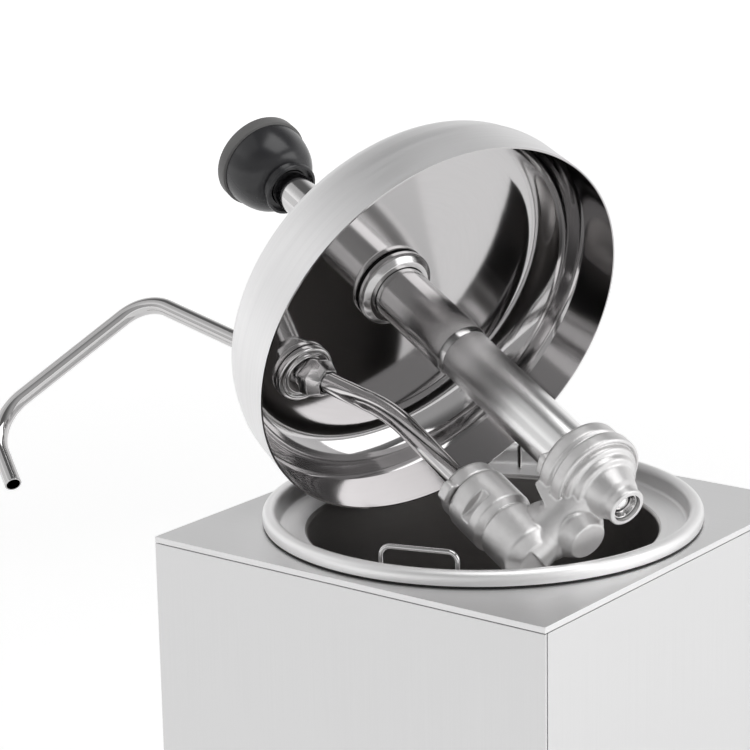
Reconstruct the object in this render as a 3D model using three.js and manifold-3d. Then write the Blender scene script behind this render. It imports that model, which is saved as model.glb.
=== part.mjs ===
// Counter-top cheese warmer with a hand pump. A square cabinet holds a heated water vessel, a lift-out
// pot hangs in it by its rim, and the pump is leaned in the mouth of the pot, knob up and away.
// Millimetres, +Z up. The origin is the centre of the cabinet's underside, on the middle of its base plate,
// which is pressed down, and the feet reach below it.

import * as THREE from 'three';
import { mergeVertices } from 'three/addons/utils/BufferGeometryUtils.js';
import Module from 'manifold-3d';

const wasm = await Module();
wasm.setup();

// Shared sizes

const gap = 0.3;
const overrun = 2;
const sides = {
  large: 32,
  round: 20,
  inner: 16,
  tube: 10,
  small: 12,
  screw: 8,
  hex: 6,
  wire: 8,
  coil: 4,
};
const steps = { rim: 6, shoulder: 4, bowl: 5, probe: 4, wire: 3, tube: 6, contact: 6 };
const sideAngles = { front: -90, rear: 90 };

// Cabinet

const cabinet = {
  width: 200,
  depth: 200,
  height: 223,
  sheet: 1,
  lip: 2.6,
  flange: 12,
  sideReturn: 14,
  bay: 70.2,
};
const pressing = { clear: 2, rise: 1.6 };
const vent = { length: 34, width: 3, pitch: 9, rows: 5, inset: 1 };
const foot = { radius: 11, toeRadius: 9, height: 12, inset: 20, recess: 5, recessRadius: 4.9 };
const footScrew = { radius: 2, head: 4.3, headHeight: 3, reach: 7 };

// Heated vessel and what hangs under it

const vessel = { wall: 0.8, corner: 6, flangeClear: 0.7, cover: 0.5 };
const stud = { radius: 3, length: 22 };
const jacket = { thickness: 4, clear: 2.6, top: 18, floorClear: 7 };
const heater = { radius: 60, thickness: 3.8 };
const element = { inner: 38, outer: 46, height: 6.2, tab: 6, tabThickness: 1, tabDrop: 8, tabSpread: 8 };
const clamp = { length: 96, width: 14, thickness: 3.7 };
const clampNut = { radius: 6, height: 4.7 };
const cutout = { radius: 8, height: 7.5, offset: 22 };

// Controls, on the lower part of the front panel

const controlHeight = 40;
const thermostat = { across: 35, width: 34, height: 30, depth: 26, neck: 5.2, neckLength: 4 };
const shaft = { radius: 3, inside: 6 };
const dial = { radius: 17, rimRadius: 18.5, depth: 15, rim: 3, grip: 7, gripDepth: 5, bore: 10 };
const bulb = { radius: 3, length: 64, offset: 66, capillary: 1, bendRadius: 3 };
const capillaryExit = { across: 46, height: 48, run: 7 };
const rockerSwitch = {
  across: -35,
  width: 21,
  height: 28,
  rim: 2,
  bodyWidth: 17.6,
  bodyHeight: 24.6,
  depth: 18,
  wall: 1.4,
};
const rocker = { width: 13.6, height: 20.4, depth: 5, crown: 1.8, angle: 10, pivot: 1 };
const lamp = { radius: 4.6, dome: 2.4, body: 16, bezel: 6.6, bezelHeight: 1.6 };
const gland = {
  across: 55,
  height: 30,
  bore: 4.2,
  thread: 7.6,
  hexRadius: 10.5,
  hexDepth: 6,
  dome: 9,
  domeLength: 9,
  mouthWall: 1,
  inside: 10,
};
const glandNut = { radius: 10.5, height: 4 };
const terminal = {
  length: 34,
  width: 18,
  height: 14,
  poles: 3,
  pitch: 10,
  well: 3,
  wellDepth: 6,
  sideClear: 19,
  backClear: 12,
};

// Pot that lifts out, hung by its rolled rim

const pot = {
  wall: 0.8,
  corner: 6,
  neckClear: 2.2,
  water: 15,
  waterUnder: 9.2,
  rimRadius: 3.2,
  shoulderDrop: 1.7,
  shoulderSlope: 1.6,
  edge: 1,
};
const seal = { inset: 2.6, width: 3, height: 1 };
const handle = {
  wire: 1.1,
  width: 35,
  top: 12.5,
  bendRadius: 4,
  neckClear: 7.1,
  frontAzimuth: -73,
  rearAzimuth: 102,
};

// Pump lid, spun from sheet

const lid = {
  skirt: 92,
  skirtTop: 91,
  skirtHeight: 20.5,
  wall: 0.8,
  shoulder: 18.6,
  shoulderAngle: 15,
  disc: 71,
  height: 41.8,
};
const lidStep = { rise: 3.1, width: 1.4 };

// Pump cylinder, along the axis of the lid

const upper = { radius: 12.7, bore: 11.6, bottom: -17.4, top: 87.7, chamfer: 3 };
const lower = { radius: 11.9, bore: 10.9, bottom: -103.5, spigot: 8 };
const collar = { radius: 18.2, height: 4.6, round: 1.1 };
const collarSeal = { radius: 17.4, height: 1.2 };
const lockNut = { radius: 19, height: 6 };
const guide = { radius: 13.6, height: 13, spigot: 6, chamfer: 1.6 };

// Plunger, from the knob to the piston

const plunger = { radius: 9, wall: 1, flange: 4, stroke: 24.4, socket: 6 };
const knob = {
  radius: 22,
  height: 32.8,
  band: 5.4,
  base: 12,
  baseHeight: 1.6,
  neck: 10.6,
  neckHeight: 5,
  crown: 2.4,
};
const rod = { radius: 4, top: 95, bottom: -47 };
const piston = { length: 12, grooveDepth: 1.9, groove: 3.6, grooveAt: 4 };
const spring = { wire: 0.9, radius: 7.9, coils: 8, stepsPerCoil: 6 };
const springSeat = { thickness: 2 };

// Valve: a casting with the intake below the cylinder and the discharge chamber beside it

const valve = {
  top: -98.5,
  flangeOne: 19.5,
  flangeOneHeight: 7,
  groove: 17.2,
  grooveHeight: 2.2,
  grooveEase: 0.5,
  flangeTwo: 20.5,
  flangeTwoHeight: 6,
  step: 15.5,
  stepHeight: 3.6,
  cone: 13.2,
  neck: 9.6,
  coneHeight: 9.2,
  face: -134,
  faceRadius: 8.5,
  chamber: 9,
  chamberBottom: -117,
  edge: 1.4,
};
const socketDepth = 6;
const intake = { bore: 6.3, seatHole: 3.9, seatThickness: 3.5, recess: 2, ball: 4.76 };
const crossover = { radius: 9.8, bore: 4.5, height: -113 };
const boss = { radius: 7.6, across: 20, face: -127.5, chamfer: 1.2, facing: -4 };
const discharge = {
  across: 39.8,
  top: -76,
  bottom: -121,
  crown: 14.4,
  crownBottom: -95,
  waist: 12.4,
  bodyRadius: 13.2,
  taper: 4,
  bore: 7,
  seatTop: -106,
  seatHole: 3.6,
  seatThickness: 2.6,
  chamber: 5,
  chamberBottom: -116,
};
const scallop = { radius: 15, shift: 26.5, height: 8, middle: -87, angle: 30 };
const cap = {
  radius: 13.4,
  height: 9,
  spigot: 7,
  lug: 17,
  lugWidth: 9,
  lugHeight: 5,
  shoulder: 3,
  angle: 60,
};
const lock = { radius: 15.2, height: 3.4, lug: 18.4, lugWidth: 10, angle: 45 };

// Tubes and the fitting that carries them through the lid

const feed = { radius: 4.7, bore: 3.9, bendRadius: 90, bottom: -80 };
const fitting = {
  across: 55,
  angle: 16,
  flange: 14,
  flangeHeight: 2.2,
  ring: 11,
  ringHeight: 2,
  sleeve: 6.5,
  below: 11,
  above: 9,
};
const lidHole = 8.6;
const coneNut = { top: 9.6, bottom: 6.3, start: 6, length: 10.5, bore: 6.8 };
const topNut = { radius: 10.4, height: 6 };
const spout = { radius: 4, bore: 3.2, bendRadius: 22, runAngle: 7.8, outletAngle: 13.6, start: 1 };
const spoutElbow = { height: 139.8 };
const spoutReach = { run: 94.3, outlet: 40.3 };

// How the pump leans in the mouth of the pot, in degrees, and where the open edge of its lid is centred:
// out along the way it leans and to the side of that

const leanAngles = { tilt: 68.4, azimuth: 162.5, spin: 45.5 };
const leanPlace = { out: 27.9, side: -0.7 };

// Finishes

const finishes = {
  brushed: { color: 0xc9c8c6, metalness: 0.9, roughness: 0.42 },
  polished: { color: 0xd4d3d1, metalness: 1, roughness: 0.12 },
  cast: { color: 0xbdbcba, metalness: 0.8, roughness: 0.55 },
  zinc: { color: 0xa9a9a6, metalness: 0.8, roughness: 0.5 },
  black: { color: 0x1d1d1f, metalness: 0, roughness: 0.45 },
  rubber: { color: 0x161616, metalness: 0, roughness: 0.85 },
  wool: { color: 0xd8d2bd, metalness: 0, roughness: 0.95 },
  ceramic: { color: 0xe6e1d4, metalness: 0, roughness: 0.7 },
  copper: { color: 0xb87447, metalness: 0.9, roughness: 0.4 },
  amber: { color: 0xd9641e, metalness: 0, roughness: 0.25 },
};

// Shape helpers

const radians = THREE.MathUtils.degToRad;

function welded(geometry) {
  const bare = geometry.clone();
  bare.deleteAttribute('normal');
  bare.deleteAttribute('uv');
  const merged = mergeVertices(bare);
  const corners = merged.index.array;
  const kept = [];
  for (let i = 0; i < corners.length; i += 3) {
    const [a, b, c] = corners.slice(i, i + 3);
    if (a !== b && b !== c && c !== a) kept.push(a, b, c);
  }
  merged.setIndex(kept);
  return merged;
}

function toSolid(geometry) {
  const mesh = welded(geometry);
  const vertProperties = new Float32Array(mesh.attributes.position.array);
  const triVerts = new Uint32Array(mesh.index.array);
  return new wasm.Manifold(new wasm.Mesh({ numProp: 3, vertProperties, triVerts }));
}

function toGeometry(solid) {
  const mesh = solid.getMesh();
  const geometry = new THREE.BufferGeometry();
  geometry.setAttribute('position', new THREE.BufferAttribute(mesh.vertProperties, 3));
  geometry.setIndex(new THREE.BufferAttribute(mesh.triVerts, 1));
  return geometry;
}

function join(first, ...others) {
  return toGeometry(others.reduce((body, other) => body.add(toSolid(other)), toSolid(first)));
}

function cut(first, ...tools) {
  return toGeometry(tools.reduce((body, tool) => body.subtract(toSolid(tool)), toSolid(first)));
}

function common(first, second) {
  return toGeometry(toSolid(first).intersect(toSolid(second)));
}

// A closed outline of [radius, height] points turned about Z. It may start and end on the axis.
function spun(outline, count) {
  const points = outline.map(([radius, height]) => new THREE.Vector2(radius, height));
  if (THREE.ShapeUtils.area(points) < 0) points.reverse();
  const onAxis = points[0].x === 0 && points.at(-1).x === 0;
  if (!onAxis) {
    const start = points.findIndex((point, i) => point.x === 0 && points.at(i - 1).x === 0);
    if (start > 0) points.push(...points.splice(0, start));
    else points.push(points[0].clone());
  }
  return new THREE.LatheGeometry(points, count).rotateX(Math.PI / 2);
}

// A [radius, height] line thickened to one side, its left going along it.
function thickened(line, wall) {
  const normals = line.slice(1).map(([radius, height], i) => {
    const along = new THREE.Vector2(radius - line[i][0], height - line[i][1]).normalize();
    return new THREE.Vector2(-along.y, along.x);
  });
  const far = line.map(([radius, height], i) => {
    const before = normals[Math.max(i - 1, 0)];
    const after = normals[Math.min(i, normals.length - 1)];
    const stretch = wall / (1 + before.dot(after));
    const shift = before.clone().add(after).multiplyScalar(stretch);
    return [radius === 0 ? 0 : radius + shift.x, height + shift.y];
  });
  return [...line, ...far.reverse()];
}

function arc(radius, height, size, from, to, count) {
  return Array.from({ length: count + 1 }, (_, i) => {
    const angle = radians(from + (to - from) * i / count);
    return [radius + size * Math.cos(angle), height + size * Math.sin(angle)];
  });
}

function drum(radius, low, high, count) {
  return spun([[0, low], [radius, low], [radius, high], [0, high]], count);
}

function ring(inner, outer, low, high, count) {
  return spun([[inner, low], [outer, low], [outer, high], [inner, high]], count);
}

function slab(width, depth, height, x, y, low) {
  return new THREE.BoxGeometry(width, depth, height).translate(x, y, low + height / 2);
}

function prism(shape, low, high) {
  return new THREE.ExtrudeGeometry(shape, { depth: high - low, bevelEnabled: false }).translate(0, 0, low);
}

function polygon(radius, count, turn = 0) {
  return Array.from({ length: count }, (_, i) => {
    const angle = turn + 2 * Math.PI * i / count;
    return new THREE.Vector2(radius * Math.cos(angle), radius * Math.sin(angle));
  });
}

function hexRing(radius, bore, low, high) {
  const shape = new THREE.Shape(polygon(radius, sides.hex));
  shape.holes.push(new THREE.Path(polygon(bore, sides.small)));
  return prism(shape, low, high);
}

function rectangle(width, depth) {
  return [
    new THREE.Vector2(-width / 2, -depth / 2),
    new THREE.Vector2(width / 2, -depth / 2),
    new THREE.Vector2(width / 2, depth / 2),
    new THREE.Vector2(-width / 2, depth / 2),
  ];
}

function frame(width, depth, wall, low, high) {
  const shape = new THREE.Shape(rectangle(width, depth));
  shape.holes.push(new THREE.Path(rectangle(width - 2 * wall, depth - 2 * wall)));
  return prism(shape, low, high);
}

// A route through given stations, used as they are
class Route extends THREE.Curve {
  constructor(stations) {
    super();
    this.stations = stations;
  }

  getPoint(share, target = new THREE.Vector3()) {
    const place = share * (this.stations.length - 1);
    const first = Math.min(Math.floor(place), this.stations.length - 2);
    return target.lerpVectors(this.stations[first], this.stations[first + 1], place - first);
  }

  getPointAt(share, target) {
    return this.getPoint(share, target);
  }

  getTangentAt(share, target = new THREE.Vector3()) {
    const last = this.stations.length - 1;
    const here = Math.round(share * last);
    const leg = (from) => this.stations[from + 1].clone().sub(this.stations[from]).normalize();
    return target.copy(leg(Math.max(here - 1, 0))).add(leg(Math.min(here, last - 1))).normalize();
  }
}

// Stations along straight legs whose corners are rounded to one bend radius
function bent(corners, bend, count) {
  const stations = [corners[0]];
  for (let i = 1; i < corners.length - 1; i += 1) {
    const into = corners[i].clone().sub(corners[i - 1]).normalize();
    const out = corners[i + 1].clone().sub(corners[i]).normalize();
    const turn = into.angleTo(out);
    const start = corners[i].clone().addScaledVector(into, -bend * Math.tan(turn / 2));
    const side = out.clone().addScaledVector(into, -Math.cos(turn)).normalize();
    for (let step = 0; step <= count; step += 1) {
      const angle = turn * step / count;
      const along = start.clone().addScaledVector(into, bend * Math.sin(angle));
      stations.push(along.addScaledVector(side, bend * (1 - Math.cos(angle))));
    }
  }
  stations.push(corners.at(-1));
  return stations;
}

function swept(stations, radius, count, bore = 0) {
  const shape = new THREE.Shape(polygon(radius, count));
  if (bore > 0) shape.holes.push(new THREE.Path(polygon(bore, count)));
  const extrudePath = new Route(stations);
  return new THREE.ExtrudeGeometry(shape, { steps: stations.length - 1, extrudePath, bevelEnabled: false });
}

// Turns a shape built along Z so that it points to the front (-Y) or another side of the cabinet
function facing(geometry, side, x, y, z) {
  return geometry.rotateX(Math.PI / 2).rotateZ(radians(side - sideAngles.front)).translate(x, y, z);
}

function piece(parent, name, geometry, finish) {
  const material = new THREE.MeshStandardMaterial({ ...finishes[finish], flatShading: true });
  const mesh = new THREE.Mesh(welded(geometry), material);
  mesh.name = name;
  parent.add(mesh);
  return mesh;
}

// Cabinet shell

const wallTop = cabinet.height - cabinet.lip - gap;
const innerWidth = cabinet.width - 2 * cabinet.sheet - 2 * gap;
const innerDepth = cabinet.depth - 2 * cabinet.sheet - 2 * gap;
const front = -cabinet.depth / 2;
const panelBack = front + cabinet.sheet;
const halfMouth = Math.min(cabinet.width, cabinet.depth) / 2;
const vesselOuter = halfMouth - cabinet.sheet - jacket.clear - jacket.thickness - gap;
const vesselInner = vesselOuter - vessel.wall;
const vesselDepth = cabinet.height - cabinet.bay - vessel.wall;
const hole = vesselInner - vessel.cover;

function topPanel() {
  const { width, depth, height, sheet, lip, flange } = cabinet;
  const body = join(
    slab(width, depth, sheet, 0, 0, height - sheet),
    frame(width, depth, sheet, height - lip, height),
    frame(innerWidth, innerDepth, sheet, height - flange, height),
  );
  return cut(body, drum(hole, height - sheet - overrun, height + overrun, sides.large));
}

function panelHole(radius, across) {
  const reach = cabinet.sheet + overrun;
  return facing(drum(radius, -reach, reach, sides.round), sideAngles.front, across, front, controlHeight);
}

function frontPanel() {
  const { width, sheet, flange, sideReturn } = cabinet;
  const low = flange + gap + overrun;
  const high = cabinet.height - low;
  const returnDepth = sideReturn + sheet / 2;
  const across = innerWidth / 2 - sheet / 2;
  const back = panelBack - sheet / 2 + returnDepth / 2;
  const returns = [-across, across].map((x) => slab(sheet, returnDepth, high - low, x, back, low));
  const body = join(slab(width, sheet, wallTop, 0, front + sheet / 2, 0), ...returns);
  const depth = sheet + 2 * overrun;
  const holes = [
    panelHole(thermostat.neck + gap, thermostat.across),
    panelHole(lamp.radius + gap, 0),
    slab(
      rockerSwitch.bodyWidth + 2 * gap,
      depth,
      rockerSwitch.bodyHeight + 2 * gap,
      rockerSwitch.across,
      front,
      controlHeight - rockerSwitch.bodyHeight / 2 - gap,
    ),
  ];
  return cut(body, ...holes);
}

function bodyWrap() {
  const { width, depth, sheet } = cabinet;
  const start = panelBack + gap;
  const shape = new THREE.Shape([
    new THREE.Vector2(-width / 2, start),
    new THREE.Vector2(-width / 2 + sheet, start),
    new THREE.Vector2(-width / 2 + sheet, depth / 2 - sheet),
    new THREE.Vector2(width / 2 - sheet, depth / 2 - sheet),
    new THREE.Vector2(width / 2 - sheet, start),
    new THREE.Vector2(width / 2, start),
    new THREE.Vector2(width / 2, depth / 2),
    new THREE.Vector2(-width / 2, depth / 2),
  ]);
  const outlet = facing(
    drum(gland.thread + gap, -overrun - sheet, overrun, sides.small),
    sideAngles.rear,
    gland.across,
    depth / 2,
    gland.height,
  );
  return cut(prism(shape, 0, wallTop), outlet);
}

const footAcross = cabinet.width / 2 - foot.inset;
const footBack = cabinet.depth / 2 - foot.inset;
const pressedWidth = 2 * (footAcross - foot.radius - pressing.clear);
const pressedDepth = 2 * (footBack - foot.radius - pressing.clear);

function footPlaces() {
  const x = footAcross;
  const y = footBack;
  return { front_left: [-x, -y], front_right: [x, -y], rear_left: [-x, y], rear_right: [x, y] };
}

// Its middle is pressed down to zero, and the feet are screwed to the corners that stay higher.
function basePlate() {
  const { sheet, flange } = cabinet;
  const { rise } = pressing;
  const body = join(
    slab(innerWidth, innerDepth, sheet, 0, 0, rise),
    frame(innerWidth, innerDepth, sheet, rise, flange),
    slab(pressedWidth, pressedDepth, rise + sheet, 0, 0, 0),
  );
  const hollow = slab(pressedWidth - 2 * sheet, pressedDepth - 2 * sheet, rise + overrun, 0, 0, sheet);
  const across = pressedWidth / 2 - sheet - vent.inset - vent.length / 2;
  const slots = [];
  for (const side of [-1, 1]) {
    for (let row = 0; row < vent.rows; row += 1) {
      const y = (row - (vent.rows - 1) / 2) * vent.pitch;
      slots.push(slab(vent.length, vent.width, sheet + 2 * overrun, side * across, y, -overrun));
    }
  }
  const holes = Object.values(footPlaces()).map(([x, y]) => {
    return drum(footScrew.radius + gap, 0, rise + sheet + overrun, sides.screw).translate(x, y, 0);
  });
  return cut(body, hollow, ...slots, ...holes);
}

function rubberFoot() {
  const { radius, toeRadius, height, recess, recessRadius } = foot;
  const bore = footScrew.radius + gap;
  const top = pressing.rise - gap;
  return spun([
    [recessRadius, -height],
    [toeRadius, -height],
    [radius, top],
    [bore, top],
    [bore, recess - height],
    [recessRadius, recess - height],
  ], sides.small);
}

function footScrewShape() {
  const { radius, head, headHeight, reach } = footScrew;
  const seat = foot.height + gap - foot.recess;
  return spun([
    [0, -seat - headHeight],
    [head - headHeight / 2, -seat - headHeight],
    [head, -seat - headHeight / 2],
    [head, -seat],
    [radius, -seat],
    [radius, reach],
    [0, reach],
  ], sides.screw);
}

// Heated vessel. Heights under it are counted down from the top panel.

const vesselFloor = -vesselDepth - vessel.wall;
const jacketInner = vesselOuter + gap;
const heaterTop = vesselFloor - gap;
const elementTop = heaterTop - heater.thickness - gap;
const clampTop = elementTop - element.height - gap;
const clampNutTop = clampTop - clamp.thickness - gap;

function waterVessel() {
  const { wall, corner, flangeClear } = vessel;
  const top = -cabinet.sheet - gap;
  const flange = halfMouth - 2 * cabinet.sheet - gap - flangeClear;
  const inside = [
    [vesselInner, top],
    [vesselInner, corner - vesselDepth],
    [vesselInner - corner, -vesselDepth],
    [0, -vesselDepth],
  ];
  const outside = thickened(inside, wall).slice(inside.length);
  return spun([
    ...inside,
    [0, vesselFloor - stud.length],
    [stud.radius, vesselFloor - stud.length],
    [stud.radius, vesselFloor],
    ...outside.slice(1, -1),
    [vesselOuter, top - wall],
    [flange, top - wall],
    [flange, top],
  ], sides.large);
}

function insulationJacket() {
  const low = jacket.floorClear - vesselDepth;
  return ring(jacketInner, jacketInner + jacket.thickness, low, -jacket.top, sides.large);
}

function heaterPlate() {
  return ring(stud.radius + gap, heater.radius, heaterTop - heater.thickness, heaterTop, sides.inner);
}

function ringElement() {
  const { inner, outer, height, tab, tabThickness, tabDrop, tabSpread } = element;
  const middle = (inner + outer) / 2;
  const low = elementTop - height;
  const tabs = [-tabSpread, tabSpread].map((x) => {
    return slab(tab, tabThickness, tabDrop + height / 2, x, -middle, low - tabDrop);
  });
  return join(ring(inner, outer, low, elementTop, sides.inner), ...tabs);
}

function clampBar() {
  const shape = new THREE.Shape(rectangle(clamp.length, clamp.width));
  shape.holes.push(new THREE.Path(polygon(stud.radius + gap, sides.small)));
  return prism(shape, clampTop - clamp.thickness, clampTop);
}

function studNut() {
  return hexRing(clampNut.radius, stud.radius + gap, clampNutTop - clampNut.height, clampNutTop);
}

function thermalCutout() {
  const { radius, height, offset } = cutout;
  return drum(radius, elementTop - height, elementTop, sides.small).translate(0, offset, 0);
}

// Controls

function thermostatBody() {
  const { across, width, height, depth, neck, neckLength } = thermostat;
  const start = panelBack + gap;
  const block = slab(width, depth, height, across, start + depth / 2, controlHeight - height / 2);
  const neckOut = drum(neck, -overrun, neckLength, sides.round);
  const bore = drum(shaft.radius + gap, -shaft.inside - gap, neckLength + overrun, sides.small);
  return cut(
    join(block, facing(neckOut, sideAngles.front, across, start, controlHeight)),
    facing(bore, sideAngles.front, across, start, controlHeight),
  );
}

const dialLow = thermostat.neckLength - cabinet.sheet;

function thermostatShaft() {
  const start = -cabinet.sheet - gap - shaft.inside;
  const body = drum(shaft.radius, start, dialLow + dial.bore - gap, sides.small);
  return facing(body, sideAngles.front, thermostat.across, front, controlHeight);
}

function thermostatDial() {
  const { radius, rimRadius, depth, rim, grip, gripDepth, bore } = dial;
  const turned = spun([
    [0, dialLow],
    [rimRadius, dialLow],
    [rimRadius, dialLow + rim / 2],
    [radius, dialLow + rim],
    [radius - rim / 2, depth],
    [0, depth],
  ], sides.round);
  const bar = slab(grip, 2 * radius - rim, gripDepth + rim, 0, 0, depth - rim);
  const socket = drum(shaft.radius + gap, dialLow - overrun, dialLow + bore, sides.small);
  const knobbed = cut(join(turned, bar), socket);
  return facing(knobbed, sideAngles.front, thermostat.across, front, controlHeight);
}

// The sensing bulb lies under the floor of the vessel, and its capillary runs round to the thermostat.
function thermostatProbe() {
  const { radius, length, offset, capillary, bendRadius } = bulb;
  const height = cabinet.height + heaterTop - radius;
  const end = length / 2;
  const body = drum(radius, -end, end, sides.small).rotateX(Math.PI / 2).translate(offset, 0, height);
  const exit = panelBack + gap + thermostat.depth + gap;
  const route = [
    new THREE.Vector3(capillaryExit.across, exit, capillaryExit.height),
    new THREE.Vector3(capillaryExit.across, exit + capillaryExit.run, capillaryExit.height),
    new THREE.Vector3(capillaryExit.across, exit + capillaryExit.run, height),
    new THREE.Vector3(offset, exit + capillaryExit.run, height),
    new THREE.Vector3(offset, radius - end, height),
  ];
  return join(body, swept(bent(route, bendRadius, steps.probe), capillary, sides.coil));
}

function switchHousing() {
  const { across, width, height, rim, bodyWidth, bodyHeight, depth, wall } = rockerSwitch;
  const bezelMiddle = front - gap - rim / 2;
  const bezel = slab(width, rim, height, across, bezelMiddle, controlHeight - height / 2);
  const low = controlHeight - bodyHeight / 2;
  const body = slab(bodyWidth, depth + rim, bodyHeight, across, bezelMiddle + (depth + rim) / 2, low);
  const wellDepth = rocker.depth + rim;
  const well = slab(
    bodyWidth - 2 * wall,
    wellDepth + overrun,
    bodyHeight - 2 * wall,
    across,
    front - gap - rim + (wellDepth - overrun) / 2,
    low + wall,
  );
  return cut(join(bezel, body), well);
}

// The rocker is stored with its lower end pressed in, which is off.
function rockerKey() {
  const { width, height, depth, crown, angle } = rocker;
  const shape = new THREE.Shape([
    new THREE.Vector2(-height / 2, -crown),
    new THREE.Vector2(0, 0),
    new THREE.Vector2(height / 2, -crown),
    new THREE.Vector2(height / 2 - crown / 2, crown),
    new THREE.Vector2(0, depth),
    new THREE.Vector2(crown / 2 - height / 2, crown),
  ]);
  const key = prism(shape, -width / 2, width / 2).rotateY(-Math.PI / 2).rotateX(radians(angle));
  return key.translate(rockerSwitch.across, rockerPivot(), controlHeight);
}

function rockerPivot() {
  return front - gap - rockerSwitch.rim + rocker.pivot;
}

function indicatorLamp() {
  const { radius, dome, body } = lamp;
  const seat = lamp.bezelHeight;
  const outline = [
    [0, -body],
    [radius, -body],
    [radius, seat],
    [radius - dome / 2, seat + dome * Math.SQRT1_2],
    [0, seat + dome],
  ];
  return facing(spun(outline, sides.small), sideAngles.front, 0, front, controlHeight);
}

function lampBezel() {
  const body = ring(lamp.radius + gap, lamp.bezel, gap, gap + lamp.bezelHeight, sides.round);
  return facing(body, sideAngles.front, 0, front, controlHeight);
}

function cableGland() {
  const { across, height, bore, thread, hexRadius, hexDepth, dome, domeLength, mouthWall, inside } = gland;
  const body = join(
    prism(new THREE.Shape(polygon(hexRadius, sides.hex)), gap, gap + hexDepth),
    drum(thread, -inside, gap + hexDepth / 2, sides.small),
    spun([
      [0, hexDepth],
      [dome, hexDepth],
      [bore + mouthWall, hexDepth + domeLength],
      [0, hexDepth + domeLength],
    ], sides.small),
  );
  const opened = cut(body, drum(bore, -inside - overrun, hexDepth + domeLength + overrun, sides.small));
  return facing(opened, sideAngles.rear, across, cabinet.depth / 2, height);
}

function glandLocknut() {
  const top = -cabinet.sheet - gap;
  const nut = hexRing(glandNut.radius, gland.thread + gap, top - glandNut.height, top);
  return facing(nut, sideAngles.rear, gland.across, cabinet.depth / 2, gland.height);
}

function terminalBlock() {
  const { length, width, height, poles, pitch, well, wellDepth, sideClear, backClear } = terminal;
  const across = pressedWidth / 2 - cabinet.sheet - sideClear - length / 2;
  const back = pressedDepth / 2 - cabinet.sheet - backClear - width / 2;
  const low = cabinet.sheet + gap;
  const body = slab(length, width, height, across, back, low);
  const wells = Array.from({ length: poles }, (_, i) => {
    const x = across + (i - (poles - 1) / 2) * pitch;
    return drum(well, low + height - wellDepth, low + height + overrun, sides.screw).translate(x, back, 0);
  });
  return cut(body, ...wells);
}

// Pot. Its heights are counted from the top panel.

const potInner = vesselInner - pot.water - pot.wall;
const potNeck = hole - pot.neckClear;
const potDepth = vesselDepth - pot.waterUnder - pot.wall;
const rimLow = gap + seal.height + gap;
const rimCentre = { radius: potNeck + pot.rimRadius, height: rimLow + pot.rimRadius * Math.SQRT1_2 };
const shoulderTop = -pot.shoulderDrop;
const shoulderEdge = shoulderTop - pot.shoulderSlope;

function potShell() {
  const { wall, corner, rimRadius, edge } = pot;
  const line = [
    ...arc(rimCentre.radius, rimCentre.height, rimRadius, -45, 180, steps.rim),
    [potNeck, shoulderTop + edge],
    [potNeck - edge, shoulderTop],
    [potInner + edge, shoulderEdge],
    [potInner, shoulderEdge - edge],
    [potInner, corner - potDepth],
    [potInner - corner, -potDepth],
    [0, -potDepth],
  ];
  return spun(thickened(line, wall), sides.large);
}

function rimSeal() {
  const inner = potNeck + seal.inset;
  return ring(inner, inner + seal.width, gap, gap + seal.height, sides.large);
}

function shoulderHeight(radius) {
  const share = (potNeck - pot.edge - radius) / (potNeck - potInner - 2 * pot.edge);
  return shoulderTop - pot.shoulderSlope * share;
}

function wireHandle(side) {
  const { wire, width, top, bendRadius, neckClear } = handle;
  const radius = potNeck - neckClear;
  const half = width / 2 - wire;
  const low = shoulderHeight(radius + wire) + gap;
  const high = top - wire;
  const corners = [
    new THREE.Vector3(radius, -half, low),
    new THREE.Vector3(radius, -half, high),
    new THREE.Vector3(radius, half, high),
    new THREE.Vector3(radius, half, low),
  ];
  return swept(bent(corners, bendRadius, steps.wire), wire, sides.wire).rotateZ(radians(side));
}

// Pump. Its heights are counted along its axis from the open edge of the skirt.

function lidShell() {
  const { skirt, skirtTop, skirtHeight, wall, shoulder, shoulderAngle, disc, height } = lid;
  const line = [
    [skirt, 0],
    [skirtTop, skirtHeight],
    [skirtTop - lidStep.width, skirtHeight + lidStep.rise],
    ...arc(disc, height - shoulder, shoulder, shoulderAngle, 90, steps.shoulder),
    [upper.radius + gap, height],
  ];
  const hole = drum(lidHole, height - wall - overrun, height + overrun, sides.round);
  return cut(spun(thickened(line, wall), sides.large), hole.translate(fitting.across, 0, 0));
}

const discBelow = lid.height - lid.wall;

function lidCollar() {
  const { radius, height, round } = collar;
  const bore = upper.radius + gap;
  const high = discBelow - 2 * gap - collarSeal.height;
  return spun([
    [bore, high - height],
    [radius - round, high - height],
    [radius, high - height + round],
    [radius, high - round],
    [radius - round, high],
    [bore, high],
  ], sides.round);
}

function collarSealRing() {
  const high = discBelow - gap;
  return ring(upper.radius + gap, collarSeal.radius, high - collarSeal.height, high, sides.round);
}

function lidLockNut() {
  const low = lid.height + gap;
  const shape = new THREE.Shape(polygon(lockNut.radius, sides.hex));
  shape.holes.push(new THREE.Path(polygon(upper.radius + gap, sides.round, Math.PI / 2)));
  return prism(shape, low, low + lockNut.height);
}

function cylinderUpper() {
  const { radius, bore, bottom, top, chamfer } = upper;
  return spun([
    [bore, bottom],
    [lower.radius, bottom],
    [radius, bottom + chamfer],
    [radius, top],
    [bore, top],
  ], sides.round);
}

function cylinderLower() {
  const { radius, bore, bottom, spigot } = lower;
  const shoulder = upper.bottom - gap;
  return spun([
    [bore, bottom],
    [radius, bottom],
    [radius, shoulder],
    [upper.bore - gap, shoulder],
    [upper.bore - gap, shoulder + spigot],
    [bore, shoulder + spigot],
  ], sides.round);
}

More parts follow.
